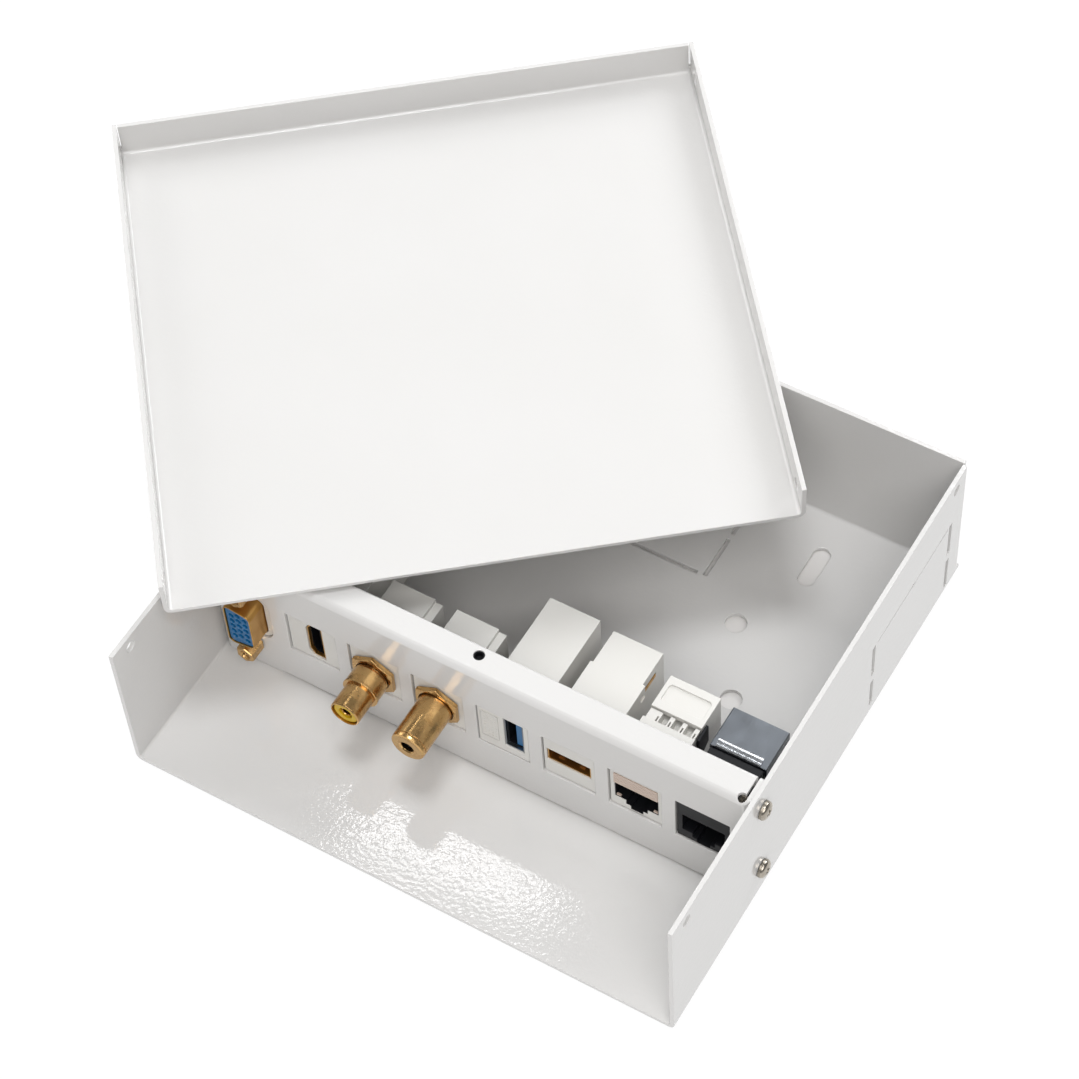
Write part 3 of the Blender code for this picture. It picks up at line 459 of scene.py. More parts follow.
class Draft:
    """A closed shape being drawn, with the operations that the pieces share."""

    def __init__(self) -> None:
        """Start with nothing drawn."""
        self.bm = bmesh.new()

    def rings(self, rings: Sequence[Ring], looped: bool = False) -> "Draft":
        """Skin rings of points.

        Args:
            rings: rings with the same number of points.
            looped: join the last ring to the first, as in a sleeve, in place of two flat caps.

        Returns:
            This draft.
        """
        loops = [[self.bm.verts.new(point) for point in ring] for ring in rings]
        count = len(loops[0])
        if not looped:
            self.bm.faces.new(list(reversed(loops[0])))
            self.bm.faces.new(loops[-1])
        followers = loops[1:] + loops[:1] if looped else loops[1:]
        for first, second in zip(loops, followers):
            for i in range(count):
                j = (i + 1) % count
                self.bm.faces.new((first[i], first[j], second[j], second[i]))
        return self

    def box(self, low: Sequence[float], high: Sequence[float]) -> "Draft":
        """Add a block between two corners."""
        centre = [(a + b) / 2 for a, b in zip(low, high)]
        size = [b - a for a, b in zip(low, high)]
        bmesh.ops.create_cube(
            self.bm, size=1.0, matrix=Matrix.Translation(centre) @ Matrix.Diagonal((*size, 1.0))
        )
        return self

    def prism(
        self,
        outline: Outline,
        start: float,
        end: float,
        centre: tuple[float, float] = (0.0, 0.0),
        axis: Axis = Axis.Y,
    ) -> "Draft":
        """Extrude an outline along an axis.

        Args:
            outline: points in the two other directions, in their order.
            start: where it starts on the axis.
            end: where it ends.
            centre: the outline's offset.
            axis: the axis.

        Returns:
            This draft.
        """
        return self.rings([self.ring(outline, start, centre, axis), self.ring(outline, end, centre, axis)])

    @staticmethod
    def ring(
        outline: Outline, along: float, centre: tuple[float, float] = (0.0, 0.0), axis: Axis = Axis.Y
    ) -> Ring:
        """Place an outline in space.

        Args:
            outline: its points.
            along: its place on the axis.
            centre: its offset in the two other directions.
            axis: the axis.

        Returns:
            The ring of points.
        """
        points = []
        for first, second in outline:
            point = [centre[0] + first, centre[1] + second]
            point.insert(axis.value, along)
            points.append((point[0], point[1], point[2]))
        return points

    def turned(self, profile: Sequence[tuple[float, float]], count: int = 56, bored: bool = False) -> "Draft":
        """Turn a profile about the Y axis.

        Args:
            profile: (y, radius) pairs.
            count: points round the part.
            bored: the profile is closed, and leaves a bore.

        Returns:
            This draft.
        """
        return self.rings([self.ring(circle(radius, count), y) for y, radius in profile], looped=bored)

    def stepped(self, sections: Sequence[Sequence[float]]) -> "Draft":
        """Add a block along Y from (y, left, right, bottom, top) sections."""
        return self.rings([self.ring(rectangle(*limits), y) for y, *limits in sections])

    def rounded(self, wanted: EdgeTest, radius: float, segments: int = 8) -> "Draft":
        """Round the edges that pass a test.

        Args:
            wanted: the test, given both ends of an edge.
            radius: the radius.
            segments: facets round the bend.

        Returns:
            This draft.
        """
        edges = [edge for edge in self.bm.edges if wanted(edge.verts[0].co, edge.verts[1].co)]
        bmesh.ops.bevel(
            self.bm,
            geom=edges,
            offset=radius,
            offset_type="OFFSET",
            segments=segments,
            profile=0.5,
            affect="EDGES",
        )
        return self

    def combined(self, operation: Operation, other: "Draft") -> "Draft":
        """Cut the other draft out of this one, or join it.

        Args:
            operation: cut or join.
            other: the other draft, which is used up.

        Returns:
            This draft.
        """
        target, helper = self.as_object(), other.as_object()
        modifier = target.modifiers.new("combine", "BOOLEAN")
        modifier.operation = operation.value
        modifier.solver = "EXACT"
        modifier.use_self = True
        modifier.object = helper
        result = evaluated_mesh(target)
        self.bm = bmesh.new()
        self.bm.from_mesh(result)
        bpy.data.meshes.remove(result)
        for used in (target, helper):
            discard(used)
        return self

    def cut(self, other: "Draft") -> "Draft":
        """Cut the other draft out of this one."""
        return self.combined(Operation.CUT, other)

    def joined(self, other: "Draft") -> "Draft":
        """Join the other draft to this one."""
        return self.combined(Operation.JOIN, other)

    def as_object(self) -> bpy.types.Object:
        """Hand the drawing over to a new object.

        Returns:
            The object, linked to the scene.
        """
        bmesh.ops.recalc_face_normals(self.bm, faces=self.bm.faces)
        mesh = bpy.data.meshes.new("draft")
        self.bm.to_mesh(mesh)
        self.bm.free()
        obj = bpy.data.objects.new("draft", mesh)
        bpy.context.scene.collection.objects.link(obj)
        return obj


def evaluated_mesh(obj: bpy.types.Object) -> bpy.types.Mesh:
    """A new mesh of the object with its modifiers applied."""
    graph = bpy.context.evaluated_depsgraph_get()
    return bpy.data.meshes.new_from_object(obj.evaluated_get(graph))


def discard(obj: bpy.types.Object) -> None:
    """Remove a helper object and its mesh."""
    mesh = obj.data
    bpy.data.objects.remove(obj)
    bpy.data.meshes.remove(mesh)


# ---------------------------------------------------------------- sub-assemblies


@dataclass
class SubAssembly:
    """A group of pieces that is drawn about one place and rides on one body."""

    body: Body = Body.BASE
    edge_radius: float = 0.14
    edge_angle: float = math.radians(38)
    pieces: list[bpy.types.Object] = field(default_factory=list)

    def place(self) -> Matrix:
        """Where the drawing's origin lies in the row frame, in millimetres."""
        return Matrix.Identity(4)

    def build(self) -> None:
        """Draw, dress and store every piece."""
        raise NotImplementedError

    def keep(
        self,
        draft: Draft,
        name: str,
        finish: Finish,
        replaces: bool = True,
        soft: float | None = None,
        body: Body | None = None,
    ) -> bpy.types.Object:
        """Store a finished draft as a piece.

        Args:
            draft: the drawing.
            name: the CAD node that it stands for, or a trim piece's own name.
            finish: its finish.
            replaces: it stands for the node of that name.
            soft: the radius of its edges, if not the sub-assembly's own; 0 leaves them sharp.
            body: the body it rides on, if not the sub-assembly's own.

        Returns:
            The piece.
        """
        raw = draft.as_object()
        raw.data.transform(self.place())
        raw.data.shade_smooth()
        radius = self.edge_radius if soft is None else soft
        if radius:
            bevel = raw.modifiers.new("soft_edges", "BEVEL")
            bevel.width = radius
            bevel.segments = 2
            bevel.limit_method = "ANGLE"
            bevel.angle_limit = self.edge_angle
            bevel.use_clamp_overlap = False
            bevel.miter_outer = "MITER_ARC"
        else:
            raw.data.set_sharp_from_angle(angle=self.edge_angle)
        normals = raw.modifiers.new("flat_faces", "WEIGHTED_NORMAL")
        normals.keep_sharp = True
        normals.weight = 100
        mesh = evaluated_mesh(raw)
        discard(raw)
        mesh.transform(Matrix.Scale(MM, 4))
        mesh.name = name
        mesh.materials.clear()
        mesh.materials.append(material_of(finish))
        piece = bpy.data.objects.new(f"{name}_piece" if replaces else name, mesh)
        bpy.context.scene.collection.objects.link(piece)
        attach(piece, (body or self.body).value)
        if replaces:
            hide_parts(name)
        self.pieces.append(piece)
        LOG.info("%s: %d faces, %s", piece.name, len(mesh.polygons), finish.name)
        return piece


def bent_block(low: Sequence[float], high: Sequence[float], radius: float) -> Draft:
    """A block whose bottom edges at the left, right and rear are rounded like a bend in sheet metal.

    Args:
        low: its lowest corner.
        high: its highest corner.
        radius: the radius of the bends.

    Returns:
        The draft.
    """
    sides = ((Axis.X, low[0]), (Axis.X, high[0]), (Axis.Y, high[1]))
    return (
        Draft()
        .box(low, high)
        .rounded(
            lambda a, b: on_plane(a, b, Axis.Z, low[2])
            and any(on_plane(a, b, axis, at) for axis, at in sides),
            radius,
        )
    )


@dataclass
class BaseTray(SubAssembly):
    """Floor and three walls folded from one sheet, with an open front."""

    bend_outer: float = 1.9
    bend_inner: float = 0.7
    seam: float = 0.35
    corner_relief: float = 1.0
    corner_lip: float = 2.6
    lid_hole_radius: float = 1.6
    lid_hole_depths: tuple[float, float] = (7.0, 149.0)
    lid_hole_height: float = 44.0
    screw_hole_radius: float = 1.7
    screw_depth: float = 44.6
    screw_heights: tuple[float, float] = (11.0, 39.2)

    def build(self) -> None:
        """Fold the tray, then punch it."""
        half, rear = BASE_WIDTH / 2, BASE_DEPTH / 2
        tray = bent_block((-half, FRONT_Y, 0.0), (half, rear, BASE_HEIGHT), self.bend_outer)
        low, high = (-half + SHEET, FRONT_Y - 5.0, SHEET), (half - SHEET, rear - SHEET, BASE_HEIGHT + 5.0)
        tray.cut(bent_block(low, high, self.bend_inner))
        openings = Draft()
        for side in (-1, 1):
            self.wall_knockout(openings, side)
            self.wall_holes(openings, side)
            self.rear_corner(openings, side)
        self.floor_knockout(openings)
        self.floor_holes(openings)
        tray.cut(openings)
        self.keep(tray, "base_tray", POWDER_WHITE, soft=0.12)

    @staticmethod
    def through_wall(
        draft: Draft, side: int, reach: float, low: Sequence[float], high: Sequence[float]
    ) -> None:
        """Add a cutter through a side wall.

        Args:
            draft: the cutters.
            side: -1 for the left wall, 1 for the right.
            reach: how deep it cuts from the outer face.
            low: its lowest (y, z).
            high: its highest (y, z).
        """
        inner, outer = side * (BASE_WIDTH / 2 - reach), side * (BASE_WIDTH / 2 + 1.0)
        draft.box((min(inner, outer), *low), (max(inner, outer), *high))

    def wall_knockout(self, draft: Draft, side: int) -> None:
        """Break-out plate for a cable duct: two pairs of slots with a scored line between their tops."""
        front, rear, top, slot = FRONT_Y + 104.2, FRONT_Y + 147.4, 31.0, 1.7
        for y, spans in ((front, ((4.4, 15.2), (18.2, top))), (rear, ((2.6, 15.2), (18.0, top)))):
            for bottom, end in spans:
                self.through_wall(draft, side, 2.0, (y - slot / 2, bottom), (y + slot / 2, end))
        self.through_wall(draft, side, 0.2, (front + 1.8, top - 0.35), (rear - 1.8, top))
        middle = (front + rear) / 2
        self.through_wall(draft, side, 0.5, (middle - 0.5, top - 0.7), (middle + 0.5, top + 0.3))

    def wall_holes(self, draft: Draft, side: int) -> None:
        """Holes for the lid's screws and for the port panel's screws."""
        inner, outer = side * (BASE_WIDTH / 2 - 3.0), side * (BASE_WIDTH / 2 + 1.0)
        holes = [(self.lid_hole_radius, depth, self.lid_hole_height) for depth in self.lid_hole_depths]
        holes += [(self.screw_hole_radius, self.screw_depth, height) for height in self.screw_heights]
        for radius, depth, height in holes:
            draft.prism(
                circle(radius, 32), min(inner, outer), max(inner, outer), (FRONT_Y + depth, height), Axis.X
            )

    def rear_corner(self, draft: Draft, side: int) -> None:
        """The open corner: the side wall stops short of the set-in rear wall, and the floor keeps a lip."""
        rear, top = BASE_DEPTH / 2, BASE_HEIGHT + 1.0
        seam_start = rear - SHEET - self.seam
        self.through_wall(draft, side, SHEET + 0.1, (seam_start, self.corner_lip), (rear - SHEET, top))
        self.through_wall(draft, side, self.corner_relief, (seam_start, self.corner_lip), (rear + 1.0, top))

    @staticmethod
    def floor_knockout(draft: Draft) -> None:
        """Break-out plate in the floor: a slotted rectangle held by small bridges."""
        half, front, rear, slot, bridge = 21.9, FRONT_Y + 120.9, FRONT_Y + 150.0, 1.2, 1.0
        low, high, middle = -1.0, SHEET + 1.0, (front + rear) / 2
        for y in (front, rear):
            draft.box((-half + bridge, y - slot / 2, low), (half - bridge - slot, y + slot / 2, high))
        for x in (-half, half):
            draft.box((x - slot / 2, front, low), (x + slot / 2, middle - bridge, high))
            draft.box((x - slot / 2, middle + bridge, low), (x + slot / 2, rear, high))

    @staticmethod
    def floor_holes(draft: Draft) -> None:
        """Four round holes and two obround fixing slots."""
        for side in (-1, 1):
            for x, y in ((36.6, 111.4), (46.9, 89.8)):
                draft.prism(circle(3.0, 40), -1.0, SHEET + 1.0, (side * x, FRONT_Y + y), Axis.Z)
            draft.prism(obround(5.0, 13.6), -1.0, SHEET + 1.0, (side * 46.3, FRONT_Y + 137.4), Axis.Z)


@dataclass
class LidTray(SubAssembly):
    """Shallow lid with flanges on three sides, upside down across the wall tops."""

    body: Body = Body.LID
    width: float = BASE_WIDTH + 2 * (GAP + SHEET)
    depth: float = BASE_DEPTH + GAP + SHEET
    flange: float = 11.5
    bend_outer: float = 2.2
    bend_inner: float = 1.0
    seam: float = 0.35
    turn: float = math.radians(39.3)
    near_corner: tuple[float, float] = (5.3, 17.2)
    hole_radius: float = 1.6
    hole_depths: tuple[float, float] = (7.0, 149.0)
    hole_height: float = 5.2

    def place(self) -> Matrix:
        """The lid's near left corner, turned about the vertical."""
        x, y = self.near_corner
        corner = Matrix.Translation((LEFT_X + x, FRONT_Y + y, BASE_HEIGHT + GAP))
        return corner @ Matrix.Rotation(self.turn, 4, "Z")

    def build(self) -> None:
        """Fold the lid, then punch its holes and open its corner seams."""
        lid = bent_block((0.0, 0.0, 0.0), (self.width, self.depth, self.flange), self.bend_outer)
        low, high = (SHEET, -5.0, SHEET), (self.width - SHEET, self.depth - SHEET, self.flange + 5.0)
        lid.cut(bent_block(low, high, self.bend_inner))
        details = Draft()
        for start in (-1.0, self.width - 3.0):
            for depth in self.hole_depths:
                details.prism(
                    circle(self.hole_radius, 32), start, start + 4.0, (depth, self.hole_height), Axis.X
                )
        for start in (SHEET, self.width - SHEET - self.seam):
            seam_low = (start, self.depth - SHEET - 0.5, 3.0)
            details.box(seam_low, (start + self.seam, self.depth + 1.0, self.flange + 1.0))
        lid.cut(details)
        self.keep(lid, "lid_tray", POWDER_WHITE, soft=0.12)


def port_x(index: int) -> float:
    """The middle of a port's window along the panel."""
    return (index - (PORT_COUNT - 1) / 2) * PORT_PITCH + PORT_ROW_OFFSET


@dataclass
class DsubShape:
    """The D outline of the socket, upright, with its long side at the left."""

    length: float = 16.8
    width: float = 8.4
    corner: float = 1.9
    slant: float = math.radians(10)
    screw_spacing: float = 25.0
    bezel_margin: float = 2.0

    def outline(self, grow: float) -> Outline:
        """The outline grown by a margin all round."""
        width, length = self.width + 2 * grow, self.length + 2 * grow
        short = length / 2 - width * math.tan(self.slant)
        corners = [
            (-width / 2, -length / 2), (width / 2, -short), (width / 2, short), (-width / 2, length / 2)
        ]
        return rounded_polygon(corners, self.corner + grow)


@dataclass
class PortPanel(SubAssembly):
    """One folded plate with a top flange, a turned-down rear lip and a flange at each side."""

    top: float = 46.6
    bottom: float = SHEET + GAP
    bend: float = 2.0
    rear_bend: float = 1.0
    flange: float = 8.6
    lip: float = 4.0
    slit: float = 0.7
    step_height: float = 0.8
    step_start: float = 19.6
    screw_place: float = 4.6
    screw_heights: tuple[float, float] = (11.0, 39.2)
    dsub: DsubShape = field(default_factory=DsubShape)

    def build(self) -> None:
        """Fold the panel, then punch its windows and corner reliefs."""
        left = LEFT_X + SHEET + GAP
        right, front, rear = -left, PANEL_Y, PANEL_Y + self.flange
        panel = self.bent((left, front, self.bottom), (right, rear, self.top), self.bend)
        panel.rounded(
            lambda a, b: on_plane(a, b, Axis.Y, rear) and on_plane(a, b, Axis.Z, self.top), self.rear_bend, 5
        )
        low = (left + SHEET, front + SHEET, self.bottom - 5.0)
        panel.cut(self.bent(low, (right - SHEET, rear - SHEET, self.top - SHEET), self.bend - SHEET))
        rear_low = (left + SHEET, rear - SHEET - 1.0, self.bottom - 5.0)
        panel.cut(Draft().box(rear_low, (right - SHEET, rear + 5.0, self.top - self.lip)))
        panel.cut(self.openings(right, front, rear))
        panel.cut(self.reliefs(right, front))
        self.keep(panel, "port_panel", POWDER_WHITE, soft=0.12)
        # A black cup with a bore, under the hole in the flange, is painted shade: it stands in for the dark
        # cavity below the hole.
        place = (0.0, front + 5.6)
        insert = Draft().prism(circle(1.47, 32), self.top - 2.4, self.top - 0.4, place, Axis.Z)
        insert.cut(Draft().prism(circle(1.15, 32), self.top - 2.1, self.top, place, Axis.Z))
        self.keep(insert, "port_panel_hole_shade", ABS_BLACK, replaces=False, soft=0.0)

    @staticmethod
    def bent(low: Sequence[float], high: Sequence[float], radius: float) -> Draft:
        """A block rounded where the face meets the top and the two sides."""
        folds = ((Axis.Z, high[2]), (Axis.X, low[0]), (Axis.X, high[0]))
        return (
            Draft()
            .box(low, high)
            .rounded(
                lambda a, b: on_plane(a, b, Axis.Y, low[1])
                and any(on_plane(a, b, axis, at) for axis, at in folds),
                radius,
            )
        )

    def openings(self, right: float, front: float, rear: float) -> Draft:
        """Windows, the D-sub cut-out, screw holes and the slits beside the side flanges.

        Args:
            right: the panel's right side.
            front: its front face.
            rear: its rear edge.

        Returns:
            The cutters.
        """
        cutters = Draft()
        behind = front + SHEET + 1.0
        for index in range(1, PORT_COUNT):
            cutters.prism(
                centred(WINDOW_WIDTH, WINDOW_HEIGHT), front - 1.0, behind, (port_x(index), PORT_HEIGHT)
            )
        bezel = self.dsub.outline(self.dsub.bezel_margin)
        cutters.prism(bezel, front - 1.0, behind, (port_x(0), PORT_HEIGHT))
        for side in (-1, 1):
            height = PORT_HEIGHT + side * self.dsub.screw_spacing / 2
            cutters.prism(circle(1.6, 28), front - 1.0, behind, (port_x(0), height))
            near, far = side * (right - SHEET - self.slit), side * (right - SHEET)
            low = (min(near, far), front + 1.2, self.top - self.lip - 1.0)
            cutters.box(low, (max(near, far), rear + 1.0, self.top + 1.0))
            inner, outer = side * (right - 3.0), side * (right + 1.0)
            for height in self.screw_heights:
                place = (front + self.screw_place, height)
                cutters.prism(circle(1.6, 28), min(inner, outer), max(inner, outer), place, Axis.X)
        return cutters.prism(circle(1.5, 32), self.top - 3.0, self.top + 1.0, (0.0, front + 5.6), Axis.Z)

    def reliefs(self, right: float, front: float) -> Draft:
        """Round reliefs at the ends of the slits, and the shallow step in the bottom edge."""
        cutters = Draft()
        for side in (-1, 1):
            place = (side * (right - SHEET - self.slit - 0.5), front + 1.5)
            cutters.prism(circle(1.2, 28), self.top - 6.0, self.top + 1.0, place, Axis.Z)
        low = (LEFT_X + self.step_start, front - 1.0, self.bottom - 1.0)
        return cutters.box(low, (right - 4.0, front + 2.0, self.bottom + self.step_height))


@dataclass
class PanelScrew(SubAssembly):
    """Pan-head machine screw with a cross recess, its head against the outside of the wall."""

    name: str = "panel_screw_right_upper"
    side: int = 1
    height: float = 39.2
    depth: float = PANEL_Y + 4.6
    head_radius: float = 2.6
    head_height: float = 1.7
    shank_radius: float = 1.4
    thread_pitch: float = 0.7
    thread_depth: float = 0.22

    def place(self) -> Matrix:
        """The screw's axis is drawn along Y and then swung to face outwards."""
        swing = Matrix.Rotation(self.side * math.pi / 2, 4, "Z")
        return Matrix.Translation((self.side * (BASE_WIDTH / 2 + 0.15), self.depth, self.height)) @ swing

    def build(self) -> None:
        """Turn the screw and press its recess."""
        profile: list[tuple[float, float]] = [(6.4, 0.8)]
        y = 6.0
        while y > 0.8:
            profile += [
                (y, self.shank_radius), (y - self.thread_pitch / 2, self.shank_radius - self.thread_depth)
            ]
            y -= self.thread_pitch
        profile += [(0.0, self.shank_radius), (0.0, self.head_radius)]
        crown = 7
        for i in range(crown + 1):
            angle = math.pi / 2 * i / crown
            y = -self.head_height * (0.35 + 0.65 * math.sin(angle))
            profile.append((y, self.head_radius * (0.45 + 0.55 * math.cos(angle))))
        screw = Draft().turned(profile, 48)
        arm, blade = 1.35, 0.32
        cross = [(arm, -blade), (arm, blade), (blade, blade), (blade, arm), (-blade, arm), (-blade, blade)]
        cross += [(-x, -z) for x, z in cross]
        narrow = [(x * 0.55, z * 0.55) for x, z in cross]
        recess = Draft().rings(
            [Draft.ring(cross, -self.head_height - 0.4), Draft.ring(narrow, -self.head_height * 0.3)]
        )
        self.keep(screw.cut(recess), self.name, NICKEL_TURNED, soft=0.05)


# ---------------------------------------------------------------- modules in the port panel


@dataclass
class Module(SubAssembly):
    """What the snap-in modules share: a nose in the window, a collar behind the panel and a body."""

    port: int = 0
    setback: float = 0.5
    nose_width: float = WINDOW_WIDTH - 2 * GAP
    nose_height: float = WINDOW_HEIGHT - 2 * GAP
    nose_play: float = 0.12
    collar_width: float = 16.4
    collar_height: float = 18.4
    collar_start: float = SHEET + GAP
    collar_end: float = 4.6
    body_width: float = 14.8
    body_top: float = 8.3
    body_bottom: float = -8.1
    depth: float = 37.0

    def place(self) -> Matrix:
        """The middle of the window on the panel's front face: X right, Y into the box, Z up."""
        return Matrix.Translation((port_x(self.port), PANEL_Y, PORT_HEIGHT))

    def sections(self) -> list[tuple[float, ...]]:
        """The block's sections from front to rear, for Draft.stepped."""
        nose, collar, body = self.nose_width / 2, self.collar_width / 2, self.body_width / 2
        nose_top, collar_top, play = self.nose_height / 2, self.collar_height / 2, self.nose_play
        return [
            (self.setback, play - nose, play + nose, play - nose_top, play + nose_top),
            (self.collar_start, play - nose, play + nose, play - nose_top, play + nose_top),
            (self.collar_start, -collar, collar, -collar_top, collar_top),
            (self.collar_end, -collar, collar, -collar_top, collar_top),
            (self.collar_end, -body, body, self.body_bottom, self.body_top),
            (self.depth, -body, body, self.body_bottom, self.body_top),
        ]

    def sleeve(
        self,
        outer: Outline,
        inner: Outline,
        start: float,
        end: float,
        centre: tuple[float, float] = (0.0, 0.0),
    ) -> Draft:
        """A thin sleeve between two outlines.

        Args:
            outer: the outside.
            inner: the inside.
            start: its front end.
            end: its rear end.
            centre: the outlines' offset.

        Returns:
            The draft.
        """
        rings = [Draft.ring(outer, start, centre), Draft.ring(outer, end, centre)]
        rings += [Draft.ring(inner, end, centre), Draft.ring(inner, start, centre)]
        return Draft().rings(rings, looped=True)

    def hex_nut(self, across_flats: float, bore: float, start: float, end: float) -> Draft:
        """A hexagonal nut with a point upwards, chamfered at its front corners.

        Args:
            across_flats: the wrench size.
            bore: the bore's radius.
            start: its front face.
            end: its rear face.

        Returns:
            The draft.
        """
        count, chamfer = 72, 0.4
        corner = across_flats / math.sqrt(3)
        hexagon: Outline = []
        for i in range(count):
            off_corner = math.radians(i * 360 / count - 90) % math.radians(60) - math.radians(30)
            radius = corner * math.cos(math.radians(30)) / math.cos(off_corner)
            angle = math.radians(i * 360 / count)
            hexagon.append((radius * math.cos(angle), radius * math.sin(angle)))
        face_radius = across_flats / 2 * 0.97
        rings = [Draft.ring(circle(face_radius, count), start)]
        # The chamfer is a cone, so it bites deepest into the corners.
        bitten = []
        for (x, z) in hexagon:
            radius = math.hypot(x, z)
            bitten.append((x, start + chamfer * (radius - face_radius) / (corner - face_radius), z))
        rings += [bitten, Draft.ring(hexagon, end), Draft.ring(circle(bore, count), end)]
        rings += [Draft.ring(circle(bore, count), start)]
        return Draft().rings(rings, looped=True)

    def solder_tag(self, name: str, start: float, end: float) -> None:
        """A flat tag with an eye for the wire at its narrow end.

        Args:
            name: the CAD node.
            start: its root.
            end: its tip.
        """
        shoulder = start + (end - start) * 0.4
        wide, narrow, thick = 1.4, 0.8, 0.4
        sections = [
            (start, wide), (shoulder, wide), (shoulder + 0.5, narrow), (end - 0.5, narrow), (end, 0.4)
        ]
        tag = Draft().stepped([(y, -half, half, -thick, thick) for y, half in sections])
        tag.cut(Draft().prism(circle(0.4, 20), -1.0, 1.0, (0.0, end - 1.6), Axis.Z))
        self.keep(tag, name, GOLD_PRESSED, soft=0.06)


@dataclass
class DsubSocket(Module):
    """15-way D-sub socket, set upright behind the panel on a white mounting plate."""

    shape: DsubShape = field(default_factory=DsubShape)
    shell_front: float = -5.6
    insert_front: float = -5.2
    wall: float = 0.45
    plate_thickness: float = 1.2
    pin_pitch: float = 2.29
    row_pitch: float = 2.0
    stagger: float = 0.9

    @property
    def plate_start(self) -> float:
        """Where the mounting plate starts behind the panel."""
        return SHEET + GAP

    @property
    def flange_start(self) -> float:
        """The front of the shell's flange."""
        return self.plate_start + self.plate_thickness + GAP

    @property
    def flange_end(self) -> float:
        """The rear of the shell's flange."""
        return self.flange_start + 0.8

    def pins(self) -> list[tuple[float, float]]:
        """The places of the 15 contacts, in three staggered rows."""
        places = []
        for row in range(3):
            shift = self.stagger if row == 1 else 0.0
            places += [
                ((1 - row) * -self.row_pitch, (pin - 2) * self.pin_pitch + shift - 0.3) for pin in range(5)
            ]
        return places

    def screws(self) -> list[tuple[float, float]]:
        """The places of the two standoffs."""
        return [(0.0, side * self.shape.screw_spacing / 2) for side in (-1, 1)]

    def build(self) -> None:
        """Build the plate, shell, insert, contacts, standoffs and rear housing."""
        self.bezel()
        self.shell()
        self.insert()
        for level, centre in zip(("lower", "upper"), self.screws()):
            self.standoff(f"dsub_standoff_{level}", centre)
        self.rear_housing()

    def bezel(self) -> None:
        """White mounting plate with a raised boss that fills the D-shaped window."""
        end = self.plate_start + self.plate_thickness
        plate = Draft().prism(rounded_polygon(centred(14.6, 34.0), 1.0), self.plate_start, end)
        boss_outline = self.shape.outline(self.shape.bezel_margin - GAP)
        plate.joined(Draft().prism(boss_outline, 0.5, self.plate_start + 0.6))
        bores = Draft().prism(self.shape.outline(GAP), -1.0, end + 0.8)
        for centre in self.screws():
            bores.prism(circle(1.8, 28), -1.0, end + 0.8, centre)
        self.keep(plate.cut(bores), "dsub_bezel", ABS_WHITE, soft=0.08)

    def shell(self) -> None:
        """Drawn shell with its flange, open right through."""
        lead_in = [
            (self.shell_front, self.shape.outline(-0.12)),
            (self.shell_front + 0.25, self.shape.outline(0.0)),
            (self.flange_end, self.shape.outline(0.0)),
        ]
        shell = Draft().rings([Draft.ring(outline, y) for y, outline in lead_in])
        # A drawn shell meets its flange in a small fillet.
        fillet = [
            (self.flange_start - 0.7, 0.02),
            (self.flange_start - 0.25, 0.12),
            (self.flange_start + 0.2, 0.6),
        ]
        shell.joined(Draft().rings([Draft.ring(self.shape.outline(grow), y) for y, grow in fillet]))
        flange = rounded_polygon(centred(12.4, 30.8), 1.2)
        shell.joined(Draft().prism(flange, self.flange_start, self.flange_end))
        bores = Draft().prism(self.shape.outline(-self.wall), self.shell_front - 1.0, self.flange_end + 1.0)
        for centre in self.screws():
            bores.prism(circle(1.8, 28), self.flange_start - 1.0, self.flange_end + 1.0, centre)
        self.keep(shell.cut(bores), "dsub_shell", GOLD_PRESSED, soft=0.06)

    def insert(self) -> None:
        """Blue insulator with 15 lead-in holes, and the gold contacts deep inside them."""
        outline = self.shape.outline(-self.wall - 0.15)
        block = Draft().prism(outline, self.insert_front, self.flange_end + 2.0)
        holes, contacts = Draft(), Draft()
        front = self.insert_front
        for centre in self.pins():
            steps = [(front - 0.5, 0.9), (front + 0.02, 0.84), (front + 0.4, 0.66), (front + 4.0, 0.6)]
            holes.rings([Draft.ring(circle(radius, 20), y, centre) for y, radius in steps])
            rings = [(front + 0.9, 0.5), (front + 3.8, 0.5), (front + 3.8, 0.3), (front + 0.9, 0.3)]
            contacts.rings([Draft.ring(circle(radius, 16), y, centre) for y, radius in rings], looped=True)
        self.keep(block.cut(holes), "dsub_insert", PBT_BLUE, soft=0.05)
        self.keep(contacts, "dsub_contacts", GOLD_TURNED, replaces=False, soft=0.0)

    def standoff(self, name: str, centre: tuple[float, float]) -> None:
        """Hexagonal jack post with a threaded bore, and its shank through the plate.

        Args:
            name: the CAD node.
            centre: its place in X and Z.
        """
        hexagon = circle(5.0 / math.sqrt(3), 6, math.radians(30))
        small = [(x * 0.9, z * 0.9) for x, z in hexagon]
        shank = circle(1.45, 6, math.radians(30))
        front = self.shell_front
        sections = [
            (front + 0.1, small), (front + 0.6, hexagon), (-0.3, hexagon), (-0.3, shank), (10.0, shank)
        ]
        post = Draft().rings([Draft.ring(outline, y, centre) for y, outline in sections])
        steps = [(front - 0.5, 1.55), (front + 0.15, 1.5)]
        y, pitch = front + 0.45, 0.5
        while y < -1.4:
            steps += [(y, 1.3), (y + pitch / 2, 1.1)]
            y += pitch
        bore = Draft().rings([Draft.ring(circle(radius, 28), at, centre) for at, radius in steps])
        self.keep(post.cut(bore), name, GOLD_TURNED, soft=0.08)

